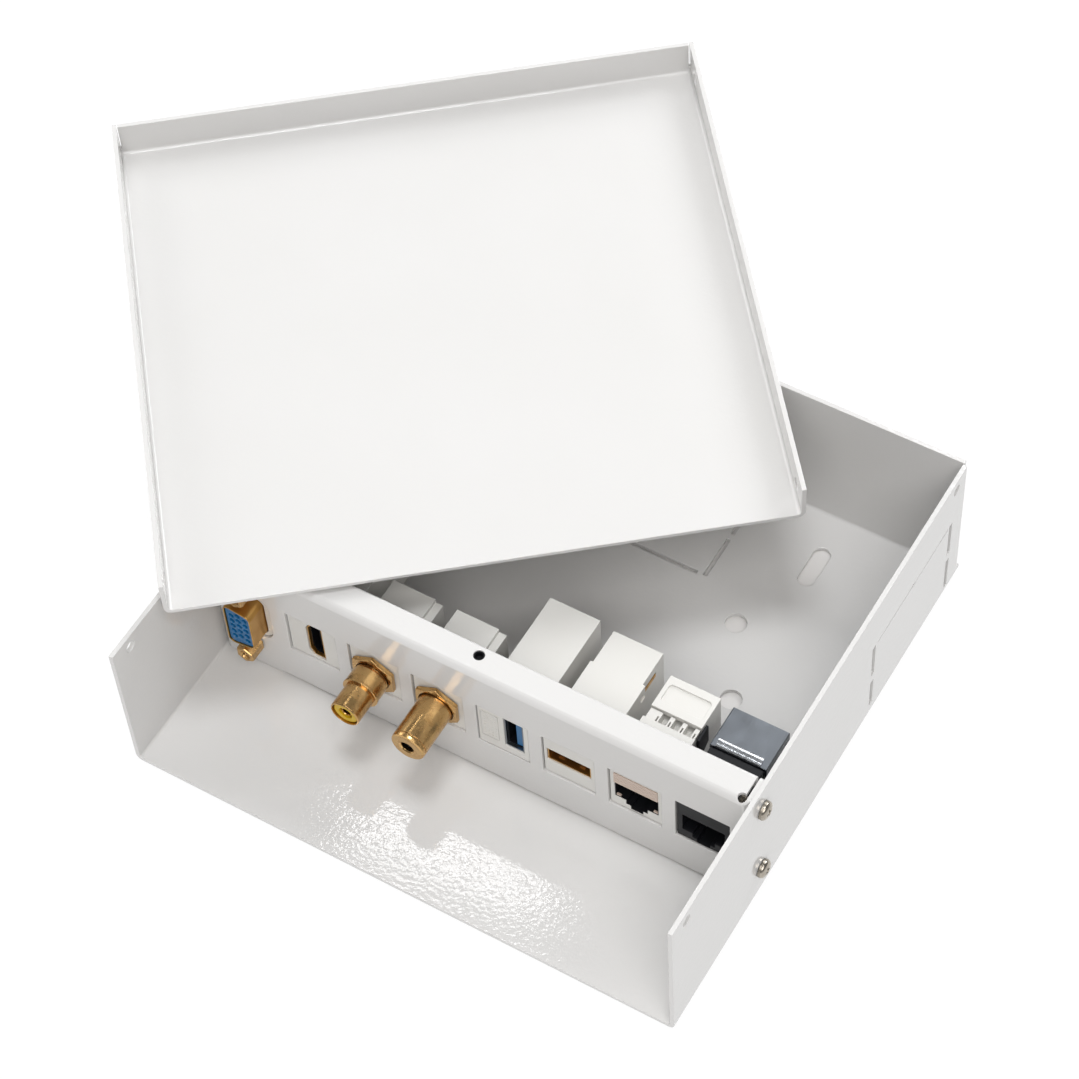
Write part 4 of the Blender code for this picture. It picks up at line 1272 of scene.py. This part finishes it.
    def rear_housing(self) -> None:
        """Black rear block with the 15 solder cups behind it."""
        start, step = self.flange_end + GAP, self.flange_end + 7.3
        block = Draft().stepped(
            [
                (start, -4.9, 4.9, -9.4, 9.4),
                (step, -4.9, 4.9, -9.4, 9.4),
                (step, -4.0, 4.0, -7.8, 7.8),
                (step + 4.0, -4.0, 4.0, -7.8, 7.8),
            ]
        )
        block.cut(Draft().prism(centred(8.0, 16.4), start - 1.3, self.flange_end + 2.0 + GAP))
        sockets, cups = Draft(), Draft()
        rear = step + 4.0
        for x, z in self.pins():
            sockets.prism(circle(0.62, 20), rear - 1.6, rear + 1.0, (x, z))
            rings = [(rear - 1.4, 0.55), (rear - 0.05, 0.55), (rear - 0.05, 0.36), (rear - 1.4, 0.36)]
            cups.rings([Draft.ring(circle(radius, 16), y, (x, z)) for y, radius in rings], looped=True)
        self.keep(block.cut(sockets), "dsub_rear_housing", ABS_BLACK, soft=0.1)
        self.keep(cups, "dsub_solder_cups", GOLD_TURNED, replaces=False, soft=0.0)


@dataclass
class Coupler(Module):
    """A straight-through module: a housing, a metal shell through it and a moulding with two tongues."""

    panel_recess: float = 0.3
    core_half: float = 5.5

    def housing(self, name: str, bores: Draft, marks: Draft | None = None) -> None:
        """Mould the housing round its opening.

        Args:
            name: the CAD node.
            bores: what is cut out of it.
            marks: shallow ledges that are joined to its top first.
        """
        body = Draft().stepped(self.sections())
        if marks is not None:
            body.joined(marks)
        self.keep(body.cut(bores), name, ABS_WHITE, soft=0.16)

    def shade_liner(
        self, name: str, outer: Outline, inner: Outline, centre: tuple[float, float], end: float
    ) -> None:
        """Black sleeve just inside the shell: painted shade that makes the opening look deep.

        Args:
            name: the piece's own name.
            outer: its outside.
            inner: its inside.
            centre: the opening's middle.
            end: its rear end.
        """
        sleeve = self.sleeve(outer, inner, self.setback + 1.3, end, centre)
        self.keep(sleeve, name, ABS_BLACK, replaces=False, soft=0.0)

    def two_way(self, inset: float, blade: Sequence[float], block: Sequence[float]) -> Draft:
        """Draw a core in the middle of the module with a tongue towards each end.

        Args:
            inset: how far the tongues stop short of the ends.
            blade: the tongues' left, right, bottom and top.
            block: the core's left, right, bottom and top.

        Returns:
            The draft.
        """
        middle, core, reach = self.depth / 2, self.core_half, self.depth / 2 - inset
        places = (
            (-reach, blade), (-core, blade), (-core, block), (core, block), (core, blade), (reach, blade)
        )
        return Draft().stepped([(middle + y, *limits) for y, limits in places])


@dataclass
class VideoCoupler(Coupler):
    """Digital video coupler: an upright opening whose left corners are cut off."""

    port: int = 1
    centre: tuple[float, float] = (0.7, 0.4)

    @staticmethod
    def outline(length: float, width: float, chamfer: float) -> Outline:
        """The opening's outline: long upright, with its two left corners cut off."""
        tall, wide = length / 2, width / 2
        inset = -wide + chamfer * 0.6
        left = [(inset, tall), (-wide, tall - chamfer), (-wide, -tall + chamfer), (inset, -tall)]
        return [(wide, -tall), (wide, tall), *left]

    def build(self) -> None:
        """Build the housing, shell, tongue and contacts."""
        bores = Draft().prism(self.outline(14.2, 5.0, 2.3), -1.0, self.depth + 1.0, self.centre)
        ledge = Draft().box((-7.39, 8.5, 7.9), (3.6, 12.5, 8.5))
        self.housing("video_coupler_housing", bores, ledge)
        start, end = self.setback + 0.4, self.depth - 0.4
        outer, inner = self.outline(13.8, 4.6, 2.2), self.outline(13.2, 4.0, 2.1)
        shell = self.sleeve(outer, inner, start, end, self.centre)
        self.keep(shell, "video_coupler_shell", GOLD_PRESSED, soft=0.05)
        outer, inner = self.outline(13.1, 3.9, 2.05), self.outline(12.7, 3.5, 1.95)
        self.shade_liner("video_coupler_shade_liner", outer, inner, self.centre, 12.0)
        self.tongue()

    def tongue(self) -> None:
        """Black moulding: a core in the middle, and a contact tongue towards each end."""
        x, z = self.centre
        blade = (x + 0.3 - 0.6, x + 0.3 + 0.6, z - 5.6, z + 5.6)
        moulding = self.two_way(3.0, blade, (x - 1.6, x + 1.6, z - 4.8, z + 4.8))
        self.keep(moulding, "video_coupler_tongue", ABS_BLACK, soft=0.08)
        strips = Draft()
        for i in range(10):
            height = z + (i - 4.5) * 1.0
            strips.box((x - 0.36, 3.6, height - 0.2), (x - 0.29, 12.6, height + 0.2))
        self.keep(strips, "video_coupler_contacts", GOLD_PRESSED, replaces=False, soft=0.0)


@dataclass
class DataCoupler(Coupler):
    """Data coupler: an upright opening at the right with a blue tongue, and a textured field at the left."""

    port: int = 4
    setback: float = 0.2
    centre: tuple[float, float] = (3.2, 1.3)

    def build(self) -> None:
        """Build the housing, shell, tongue, contacts and the black liner, which is painted shade."""
        bores = Draft().prism(centred(5.7, 12.5), -1.0, self.depth + 1.0, self.centre)
        bores.box((-6.3, self.setback - 1.0, -4.4), (-1.3, self.setback + 0.12, 6.6))
        bores.box((-9.0, self.collar_end - 0.01, 8.0), (4.4, 12.5, 9.0))
        self.housing("data_coupler_housing", bores)
        self.texture_field()
        shell = self.sleeve(
            centred(5.4, 12.2), centred(4.8, 11.6), self.setback + 0.3, self.depth - 0.3, self.centre
        )
        self.keep(shell, "data_coupler_shell", TINNED_SHEET, soft=0.05)
        self.shade_liner("data_coupler_shade_liner", centred(4.7, 11.5), centred(4.4, 11.2), self.centre, 13.0)
        self.tongue()

    def texture_field(self) -> None:
        """Rows of small raised dots moulded into the shallow field on the face."""
        dots = Draft()
        for row in range(8):
            for column in range(4):
                x, z = -5.4 + column * 1.1, -3.2 + row * 1.2
                rings = [(self.setback + 0.16, 0.28), (self.setback + 0.04, 0.24), (self.setback - 0.02, 0.1)]
                dots.rings([Draft.ring(circle(radius, 10), y, (x, z)) for y, radius in rings])
        self.keep(dots, "data_coupler_dots", ABS_WHITE, replaces=False, soft=0.0)

    def tongue(self) -> None:
        """Blue moulding with a tongue each way, and its contacts."""
        x, z = self.centre
        blade = (x + 1.0 - 0.9, x + 1.0 + 0.9, z - 5.2, z + 5.2)
        moulding = self.two_way(1.4, blade, (x - 2.1, x + 2.1, z - 5.5, z + 5.5))
        self.keep(moulding, "data_coupler_tongue", PBT_BLUE, soft=0.1)
        strips = Draft()
        for i in range(4):
            height = z + (i - 1.5) * 2.2
            strips.box((x + 0.03, 2.6, height - 0.5), (x + 0.09, 11.4, height + 0.5))
        self.keep(strips, "data_coupler_contacts", GOLD_PRESSED, replaces=False, soft=0.0)


@dataclass
class SlotCoupler(Coupler):
    """Slot coupler: a flat opening lined in gold, with a ground strip let into its right side."""

    port: int = 5
    centre: tuple[float, float] = (-0.1, 0.2)
    depth: float = 36.0
    step: float = 25.4
    front_half: float = 7.9
    rear_half: float = 7.2

    def sections(self) -> list[tuple[float, ...]]:
        """The shared front, then a wide part and a narrower rear."""
        nose = super().sections()[:4]
        wide = (-self.front_half, self.front_half, self.body_bottom, self.body_top)
        narrow = (-self.rear_half, self.rear_half, self.body_bottom, self.body_top)
        return [
            *nose, (self.collar_end, *wide), (self.step, *wide), (self.step, *narrow), (self.depth, *narrow)
        ]

    def build(self) -> None:
        """Build the housing, shell, springs, tongue and ground strip."""
        x, z = self.centre
        bores = Draft().prism(centred(12.7, 5.0), -1.0, self.depth + 1.0, self.centre)
        bores.box((6.7, 23.0, 3.4), (9.0, 32.0, 5.2))
        ledge = Draft().box((-2.2, 6.2, 8.0), (2.6, 7.2, 8.55))
        self.housing("slot_coupler_housing", bores, ledge)
        start, end = self.setback + 0.35, self.depth - 0.9
        shell = self.sleeve(centred(12.4, 4.7), centred(11.8, 4.1), start, end, self.centre)
        self.keep(shell, "slot_coupler_shell", GOLD_PRESSED, soft=0.05)
        springs = Draft()
        for side in (-1, 1):
            outline = [(2.0, z - 2.02), (4.0, z - 1.55), (6.4, z - 1.45), (10.0, z - 2.02), (10.0, z - 1.9)]
            outline += [(6.4, z - 1.3), (4.0, z - 1.4), (2.0, z - 1.88)]
            centre = x + side * 3.0
            rings = [[(at, y, height) for y, height in outline] for at in (centre - 0.8, centre + 0.8)]
            springs.rings(rings)
        self.keep(springs, "slot_coupler_springs", GOLD_PRESSED, replaces=False, soft=0.0)
        middle = self.depth / 2
        blade = (x - 5.2, x + 5.2, z + 0.6, z + 1.6)
        core = (x - 5.7, x + 5.7, z - 1.85, z + 1.85)
        places = ((5.0, blade), (middle - 5.0, blade), (middle - 5.0, core))
        places += ((middle + 5.0, core), (middle + 5.0, blade), (self.depth - 5.0, blade))
        tongue = Draft().stepped([(y, *limits) for y, limits in places])
        self.keep(tongue, "slot_coupler_tongue", ABS_BLACK, soft=0.08)
        strip = Draft().box((6.9, 23.3, 3.7), (7.3, 31.7, 4.9))
        for y in (24.6, 27.5, 30.4):
            strip.cut(Draft().prism(circle(0.22, 16), 6.0, 8.0, (y, 4.3), Axis.X))
        self.keep(strip, "slot_coupler_ground_strip", GOLD_PRESSED, soft=0.06)


@dataclass
class RoundSocket(Module):
    """What the phono socket and the audio jack share: a turned barrel held by a nut in a short housing."""

    depth: float = 22.4
    front: float = -14.4
    nut_size: float = 12.0
    nut_thickness: float = 1.4

    @property
    def nut_end(self) -> float:
        """The nut's rear face, just in front of the housing."""
        return self.setback - GAP

    def housing(self, name: str) -> None:
        """White housing with a bore for the barrel and a lower ear at its right."""
        body = Draft().stepped(self.sections())
        bore = Draft().prism(circle(4.35, 40), -1.0, self.depth + 1.0)
        ear = (self.body_width / 2 - 2.2, self.collar_end + 0.6, self.body_top - 1.3)
        bore.box(ear, (self.body_width / 2 + 1.0, self.depth + 1.0, self.body_top + 1.0))
        self.keep(body.cut(bore), name, ABS_WHITE, soft=0.16)


@dataclass
class PhonoSocket(RoundSocket):
    """Phono socket for composite video, with a yellow insulator."""

    port: int = 2

    def build(self) -> None:
        """Build the housing, nut, barrel, insulator, contact and tag."""
        self.housing("phono_socket_housing")
        nut_start = self.nut_end - self.nut_thickness
        nut = self.hex_nut(self.nut_size, 4.95, nut_start, self.nut_end)
        self.keep(nut, "phono_socket_nut", GOLD_TURNED, soft=0.08)
        self.barrel(nut_start)
        front = self.front
        profile = [(front + 0.5, 1.95), (front + 0.5, 3.3), (front + 0.8, 3.6), (12.0, 3.6), (12.0, 1.95)]
        self.keep(Draft().turned(profile, 48, bored=True), "phono_socket_insulator", ACETAL_YELLOW, soft=0.08)
        contact = [(front + 0.9, 1.3), (front + 1.1, 1.75), (self.depth - 6.0, 1.75), (self.depth - 6.0, 1.1)]
        contact += [(front + 1.3, 1.1)]
        pin = Draft().turned(contact, 32, bored=True)
        self.keep(pin, "phono_socket_centre_contact", GOLD_TURNED, soft=0.05)
        self.solder_tag("phono_socket_solder_tag", self.depth - 5.7, self.depth + 3.0)

    def barrel(self, nut_start: float) -> None:
        """Smooth nose, a bright ring, a wider rear with thread in the nut, and the tube behind the panel."""
        front, ring = self.front, -6.6
        profile = [(front, 3.75), (front, 3.98), (front + 0.25, 4.2), (ring - 0.9, 4.2), (ring - 0.9, 4.0)]
        profile += [
            (ring - 0.5, 4.0),
            (ring - 0.5, 5.0),
            (ring - 0.35, 5.15),
            (ring + 0.15, 5.15),
            (ring + 0.3, 5.0),
        ]
        profile += [(nut_start - 0.9, 5.0)]
        y = nut_start - 0.9
        # Thread shows between the wide rear and the nut.
        while y < nut_start - 0.35:
            profile += [(y, 4.45), (y + 0.25, 4.8)]
            y += 0.3
        profile += [(nut_start - 0.2, 4.6), (self.nut_end - 0.1, 4.6), (self.nut_end - 0.1, 4.05)]
        profile += [(self.depth - 4.0, 4.05), (self.depth - 4.0, 3.75)]
        self.keep(Draft().turned(profile, 64, bored=True), "phono_socket_barrel", GOLD_TURNED, soft=0.05)


@dataclass
class AudioJack(RoundSocket):
    """Stereo jack socket in a smooth gold barrel."""

    port: int = 3
    front: float = -15.1
    bore: float = 1.85

    def build(self) -> None:
        """Build the housing, nut, barrel, insulator and tag."""
        self.housing("audio_jack_housing")
        nut = self.hex_nut(self.nut_size, 5.2, self.nut_end - self.nut_thickness, self.nut_end)
        self.keep(nut, "audio_jack_nut", GOLD_TURNED, soft=0.08)
        front, bore = self.front, self.bore
        profile = [
            (front + 0.35, bore),
            (front, bore + 0.35),
            (front, 4.15),
            (front + 0.35, 4.72),
            (front + 0.9, 4.85),
        ]
        # A thin groove behind the front rim.
        profile += [(front + 1.2, 4.85), (front + 1.25, 4.62), (front + 1.6, 4.62), (front + 1.65, 4.85)]
        profile += [(self.nut_end - 0.1, 4.85), (self.nut_end - 0.1, 4.05), (self.depth - 4.0, 4.05)]
        profile += [(self.depth - 4.0, 3.7), (front + 1.2, 3.7), (front + 1.2, bore)]
        self.keep(Draft().turned(profile, 64, bored=True), "audio_jack_barrel", GOLD_TURNED, soft=0.05)
        core = [(front + 1.5, bore), (front + 1.5, 3.5), (12.0, 3.5), (12.0, bore)]
        self.keep(Draft().turned(core, 40, bored=True), "audio_jack_insulator", ABS_BLACK, soft=0.05)
        self.solder_tag("audio_jack_solder_tag", 12.3, self.depth + 3.0)


@dataclass
class NetworkJack(Module):
    """What the two network jacks share: a plug opening with a latch notch, a black liner of painted shade,
    and contacts.
    """

    depth: float = 17.6
    opening_half: float = 5.9
    centre: tuple[float, float] = (0.2, -0.9)
    contact_pitch: float = 1.02

    def plug_outline(self, inset: float = 0.0) -> Outline:
        """The opening's outline, drawn in by an inset all round."""
        half, top, floor = self.opening_half - inset, 3.4 - inset, -3.4 + inset
        wide, narrow, step, bottom = 3.1 - inset, 1.8 - inset, -5.2 + inset, -6.6 + inset
        right = [(narrow, bottom), (narrow, step), (wide, step), (wide, floor), (half, floor), (half, top)]
        return [(-x, z) for x, z in reversed(right)] + right

    def housing(self, name: str, finish: Finish) -> None:
        """The housing round its plug opening."""
        body = Draft().stepped(self.sections())
        outline = self.plug_outline()
        body.cut(Draft().prism(outline[6:] + outline[:6], -1.0, 14.0, self.centre))
        self.keep(body, name, finish, soft=0.14)

    def shade_liner(self, name: str) -> None:
        """Black cup that lines the opening: painted shade in its depth."""
        shade_cup = Draft().prism(self.plug_outline(0.03), 0.7, 13.9, self.centre)
        shade_cup.cut(Draft().prism(self.plug_outline(0.2), 0.2, 13.6, self.centre))
        self.keep(shade_cup, name, ABS_BLACK, replaces=False, soft=0.0)

    def contacts(self, name: str) -> None:
        """Eight gold springs that slope down from the top of the opening."""
        start, end, blade, count = 3.4, 13.4, 0.46, 8
        springs = Draft()
        for i in range(count):
            x = self.centre[0] + (i - (count - 1) / 2) * self.contact_pitch
            top = self.centre[1] + 2.9
            path = [(start, top - 1.9), (start + 0.5, top - 1.55), (end - 2.0, top - 0.25), (end, top)]
            outline = path + [(y, z - 0.3) for y, z in reversed(path)]
            springs.rings([[(at, y, z) for y, z in outline] for at in (x - blade / 2, x + blade / 2)])
        self.keep(springs, name, GOLD_PRESSED, soft=0.0)


@dataclass
class WhiteJack(NetworkJack):
    """White network jack with a wire block and a wire cap pushed over it from behind."""

    port: int = 6
    opening_half: float = 6.2
    block_end: float = 29.0
    cap_end: float = 31.6
    cap_wall: float = 1.1

    @property
    def block_start(self) -> float:
        """The front of the wire block."""
        return self.depth + GAP

    def build(self) -> None:
        """Build the housing, face band, contacts, wire block, cap and the black wedge at the block's right.
        """
        self.housing("white_jack_housing", ABS_WHITE)
        self.shade_liner("white_jack_shade_liner")
        self.contacts("white_jack_contacts")
        self.face_band()
        self.wire_block()
        self.wire_cap()
        # A thin, tapered black piece on the right side of the wire block.
        black_wedge = [(self.block_start + 0.4, 7.3, 8.2, -2.0, 7.0), (self.block_start + 5.2, 7.5, 8.2, 1.0, 7.6)]
        self.keep(Draft().stepped(black_wedge), "white_jack_side_clip", ABS_BLACK, soft=0.1)

    def face_band(self) -> None:
        """Beige band with three fine grooves above the opening, and beige guides in its lower corners."""
        band = Draft().box((-6.0, 0.12, 2.8), (6.4, 0.48, 6.9))
        for z in (3.7, 4.8, 5.9):
            band.cut(Draft().box((-7.0, -0.3, z - 0.1), (7.4, 0.24, z + 0.1)))
        self.keep(band, "white_jack_face_band", JACK_FACE_BEIGE, replaces=False, soft=0.05)
        guides = Draft()
        x, z = self.centre
        for side in (-1, 1):
            low, high = sorted((side * 4.6, side * (self.opening_half - 0.3)))
            guides.box((x + low, 0.75, z - 3.1), (x + high, 1.3, z - 2.6))
        self.keep(guides, "white_jack_guides", JACK_FACE_BEIGE, replaces=False, soft=0.08)

    def wire_block(self) -> None:
        """Comb of ridges in front of the cap, and the core that the cap slides over."""
        outline: Outline = [(-7.0, -6.6), (7.0, -6.6)]
        ridge, groove, top, floor = 1.3, 2.2, 7.4, 4.6
        x = 7.0
        while x > -6.9:
            outline += [(x, top), (x - ridge, top)]
            if x - ridge - groove > -7.0:
                outline += [(x - ridge, floor), (x - ridge - groove, floor)]
            x -= ridge + groove
        outline[-1] = (-7.0, top)
        start = self.block_start
        block = Draft().prism(outline, start, start + 3.2)
        # The wire slots part each ridge's top in two.
        slots = Draft()
        for i in range(5):
            middle = 7.0 - ridge / 2 - i * (ridge + groove)
            slots.box((middle - 0.2, start - 1.0, top - 1.6), (middle + 0.2, start + 1.7, top + 1.0))
        block.cut(slots)
        block.joined(Draft().box((-5.6, start + 3.0, -5.6), (5.6, self.block_end, 4.2)))
        self.keep(block, "white_jack_wire_block", ABS_WHITE, soft=0.1)

    def wire_cap(self) -> None:
        """Cap with a tray sunk into its top and rounded rear edges."""
        start, end, wall = self.block_start + 3.2 + GAP, self.cap_end, self.cap_wall
        cap = Draft().box((-7.2, start, -7.4), (7.2, end, 8.0))
        cap.rounded(lambda a, b: on_plane(a, b, Axis.Y, end), 0.5, 5)
        cap.cut(
            Draft().box((-7.2 + wall, start - 1.0, -7.4 + wall), (7.2 - wall, end - wall, 8.0 - wall - 0.6))
        )
        corners = [(-6.0, start + 2.2), (6.0, start + 2.2), (6.0, end - 2.4), (-6.0, end - 2.4)]
        cap.cut(Draft().prism(rounded_polygon(corners, 1.0), 7.4, 9.0, axis=Axis.Z))
        self.keep(cap, "white_jack_wire_cap", ABS_WHITE, soft=0.14, body=Body.WIRE_CAP)


@dataclass
class BlackJack(NetworkJack):
    """Black network jack with a tinned screening plate over its rear body."""

    port: int = 7
    setback: float = 0.3
    rear_end: float = 31.2
    shield_top: float = 7.9
    shield_wall: float = 0.5
    shield_skirt: float = 3.5

    def build(self) -> None:
        """Build the housing, contacts, rear body and screening plate."""
        self.housing("black_jack_housing", ABS_BLACK)
        self.contacts("black_jack_contacts")
        start = self.depth + GAP
        rear = Draft().box((-7.3, start, -7.6), (7.3, self.rear_end, 6.9))
        grooves = Draft()
        for z in (-4.0, 0.0, 4.0):
            grooves.box((-5.6, self.rear_end - 0.6, z - 0.5), (5.6, self.rear_end + 1.0, z + 0.5))
        self.keep(rear.cut(grooves), "black_jack_rear_body", ABS_BLACK, soft=0.2)
        self.shield(start + 0.6, self.rear_end - 0.4)

    def shield(self, start: float, end: float) -> None:
        """Screening plate bent down at both sides, with a lip curled up along its front edge.

        Args:
            start: its front edge.
            end: its rear edge.
        """
        top, wall, skirt = self.shield_top, self.shield_wall, self.shield_skirt
        left, right, bend = -7.6 - wall, 7.6 + wall - 0.3, 0.4
        outline = [(left, top - skirt), (left + wall, top - skirt), (left + wall, top - wall)]
        outline += [(right - wall, top - wall), (right - wall, top - skirt), (right, top - skirt)]
        outline += [
            (right - bend + bend * math.cos(a), top - bend + bend * math.sin(a)) for a in self.quarter()
        ]
        outline += [
            (left + bend - bend * math.sin(a), top - bend + bend * math.cos(a)) for a in self.quarter()
        ]
        plate = Draft().prism(outline, start, end)
        self.keep(plate, "black_jack_shield", TINNED_SHEET, soft=0.08)
        middle, radius, rise, steps = start + 1.4, 1.35, 0.68, 16
        curl = [
            (
                middle - radius * math.cos(math.pi * i / steps),
                top + 0.01 + rise * math.sin(math.pi * i / steps),
            )
            for i in range(steps + 1)
        ]
        # The curl is drawn in a much lighter tin, as a painted highlight along the shield's front edge.
        roll = Draft().rings([[(x, y, z) for y, z in curl] for x in (-6.6, 6.0)])
        self.keep(roll, "black_jack_shield_curl_highlight", TINNED_CURL_HIGHLIGHT, replaces=False, soft=0.0)

    @staticmethod
    def quarter(count: int = 5) -> list[float]:
        """The angles of a quarter turn."""
        return [math.pi / 2 * i / count for i in range(count + 1)]


# ---------------------------------------------------------------- studio


@dataclass
class SoftLight:
    """A rectangular soft light."""

    name: str
    place: tuple[float, float, float]
    aim: tuple[float, float, float]
    size: tuple[float, float]
    watts: float
    colour: str = "#FFFFFF"
    roll: float = 0.0

    def build(self) -> None:
        """Hang the light in the scene."""
        lamp = bpy.data.lights.new(self.name, "AREA")
        lamp.shape = "RECTANGLE"
        lamp.size, lamp.size_y = (side * MM for side in self.size)
        lamp.energy = self.watts
        lamp.color = linear(self.colour)[:3]
        holder = bpy.data.objects.new(self.name, lamp)
        holder.location = Vector(self.place) * MM
        facing = (Vector(self.aim) - Vector(self.place)).to_track_quat("-Z", "Y").to_matrix()
        holder.rotation_euler = (facing @ Matrix.Rotation(self.roll, 3, "Z")).to_euler()
        bpy.context.scene.collection.objects.link(holder)


@dataclass
class Studio:
    """White table under a soft box, with the camera high at the front right."""

    camera_place: tuple[float, float, float] = (255.8, -378.5, 696.9)
    camera_aim: tuple[float, float, float] = (-13.76, 18.29, 24.0)
    camera_roll: float = math.radians(-4.45)
    focal_length: float = 105.24
    table_half: float = 4000.0

    def build(self) -> None:
        """Set the table, the lights, the surrounding light and the camera."""
        bpy.context.scene.view_settings.view_transform = "Standard"
        self.table()
        self.surround()
        target = (6.0, -62.0, 1.2)
        lights = [
            SoftLight(
                "overhead_soft_box", (20.0, -60.0, 1300.0), (0.0, 0.0, 0.0), (300.0, 300.0), 5.2, "#FBFDFF"
            ),
            SoftLight("front_fill", (420.0, -560.0, 900.0), (0.0, 0.0, 20.0), (700.0, 700.0), 6.6, "#FFFDFB"),
            SoftLight(
                "rear_soft_box", (100.0, 1000.0, 800.0), (0.0, 0.0, 20.0), (700.0, 700.0), 9.3, "#FDFEFF"
            ),
            SoftLight(
                "left_soft_box", (-1000.0, 100.0, 450.0), (0.0, 0.0, 20.0), (600.0, 600.0), 4.3, "#FFFEFD"
            ),
            SoftLight("rear_strip_light", (-300.0, 328.0, 868.0), target, (120.0, 28.0), 0.105, roll=-0.47),
        ]
        for light in lights:
            light.build()
        self.camera()

    def table(self) -> None:
        """White light table, and an unlit white sheet under the box, so that its floor holes don't glow."""
        half = self.table_half
        top = Draft().box((-half, -half, -20.0), (half, half, -0.6))
        sheet = Draft().box((LEFT_X + 3.0, FRONT_Y + 3.0, -0.5), (-LEFT_X - 3.0, -FRONT_Y - 3.0, -0.3))
        self.stage(top, "light_table", "#5A5A5A", 0.885)
        self.stage(sheet, "white_sheet", "#E2E0DE", 0.0)

    @staticmethod
    def stage(draft: Draft, name: str, colour: str, glow: float) -> None:
        """Store a part of the stage.

        Args:
            draft: the drawing.
            name: the object's and the material's name.
            colour: the surface's colour.
            glow: the strength of its own light.
        """
        obj = draft.as_object()
        obj.data.transform(Matrix.Scale(MM, 4))
        obj.name = name
        material = bpy.data.materials.new(name)
        material.use_nodes = True
        shader = material.node_tree.nodes["Principled BSDF"]
        shader.inputs["Base Color"].default_value = linear(colour)
        shader.inputs["Roughness"].default_value = 0.8
        shader.inputs["Emission Color"].default_value = linear("#FFFFFF")
        shader.inputs["Emission Strength"].default_value = glow
        obj.data.materials.append(material)

    @staticmethod
    def surround() -> None:
        """Soft warm light from all round."""
        world = bpy.data.worlds.new("soft_surround")
        bpy.context.scene.world = world
        world.use_nodes = True
        background = world.node_tree.nodes["Background"]
        background.inputs["Color"].default_value = linear("#FEFEFF")
        background.inputs["Strength"].default_value = 0.22

    def camera(self) -> None:
        """Place the camera."""
        data = bpy.data.cameras.new("camera")
        data.lens = self.focal_length
        data.sensor_width = 36.0
        data.clip_start, data.clip_end = 0.01, 20.0
        camera = bpy.data.objects.new("camera", data)
        place, aim = Vector(self.camera_place), Vector(self.camera_aim)
        level = (aim - place).to_track_quat("-Z", "Y").to_matrix()
        turned = level @ Euler((0.0, 0.0, self.camera_roll)).to_matrix()
        camera.matrix_world = Matrix.Translation(place * MM) @ turned.to_4x4()
        bpy.context.scene.collection.objects.link(camera)
        bpy.context.scene.camera = camera


def clear_startup_scene() -> None:
    """Remove what Blender starts with."""
    for obj in list(bpy.data.objects):
        bpy.data.objects.remove(obj, do_unlink=True)


def assemblies() -> list[SubAssembly]:
    """The sub-assemblies in the order that they are built."""
    screws: list[SubAssembly] = []
    for side, hand in ((-1, "left"), (1, "right")):
        for level, height in (("lower", 11.0), ("upper", 39.2)):
            screws.append(PanelScrew(name=f"panel_screw_{hand}_{level}", side=side, height=height))
    modules: list[SubAssembly] = [DsubSocket(), VideoCoupler(), PhonoSocket(), AudioJack()]
    modules += [DataCoupler(), SlotCoupler(), WhiteJack(), BlackJack()]
    return [BaseTray(), PortPanel(), LidTray(), *screws, *modules]


def corners(bounds: tuple[Vector, Vector]) -> list[list[float]]:
    """A box's two corners as plain lists."""
    return [list(corner) for corner in bounds]


def main() -> None:
    """Load the frame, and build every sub-assembly and the studio."""
    logging.basicConfig(level=logging.INFO, format="%(message)s")
    clear_startup_scene()
    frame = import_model()
    for assembly in assemblies():
        assembly.build()
    left_over = [name for name, node in frame["nodes"].items() if not node.hide_render]
    LOG.info("CAD nodes still shown: %s", left_over or "none")
    Studio().build()
    bpy.context.view_layer.update()


if __name__ == "__main__":
    main()
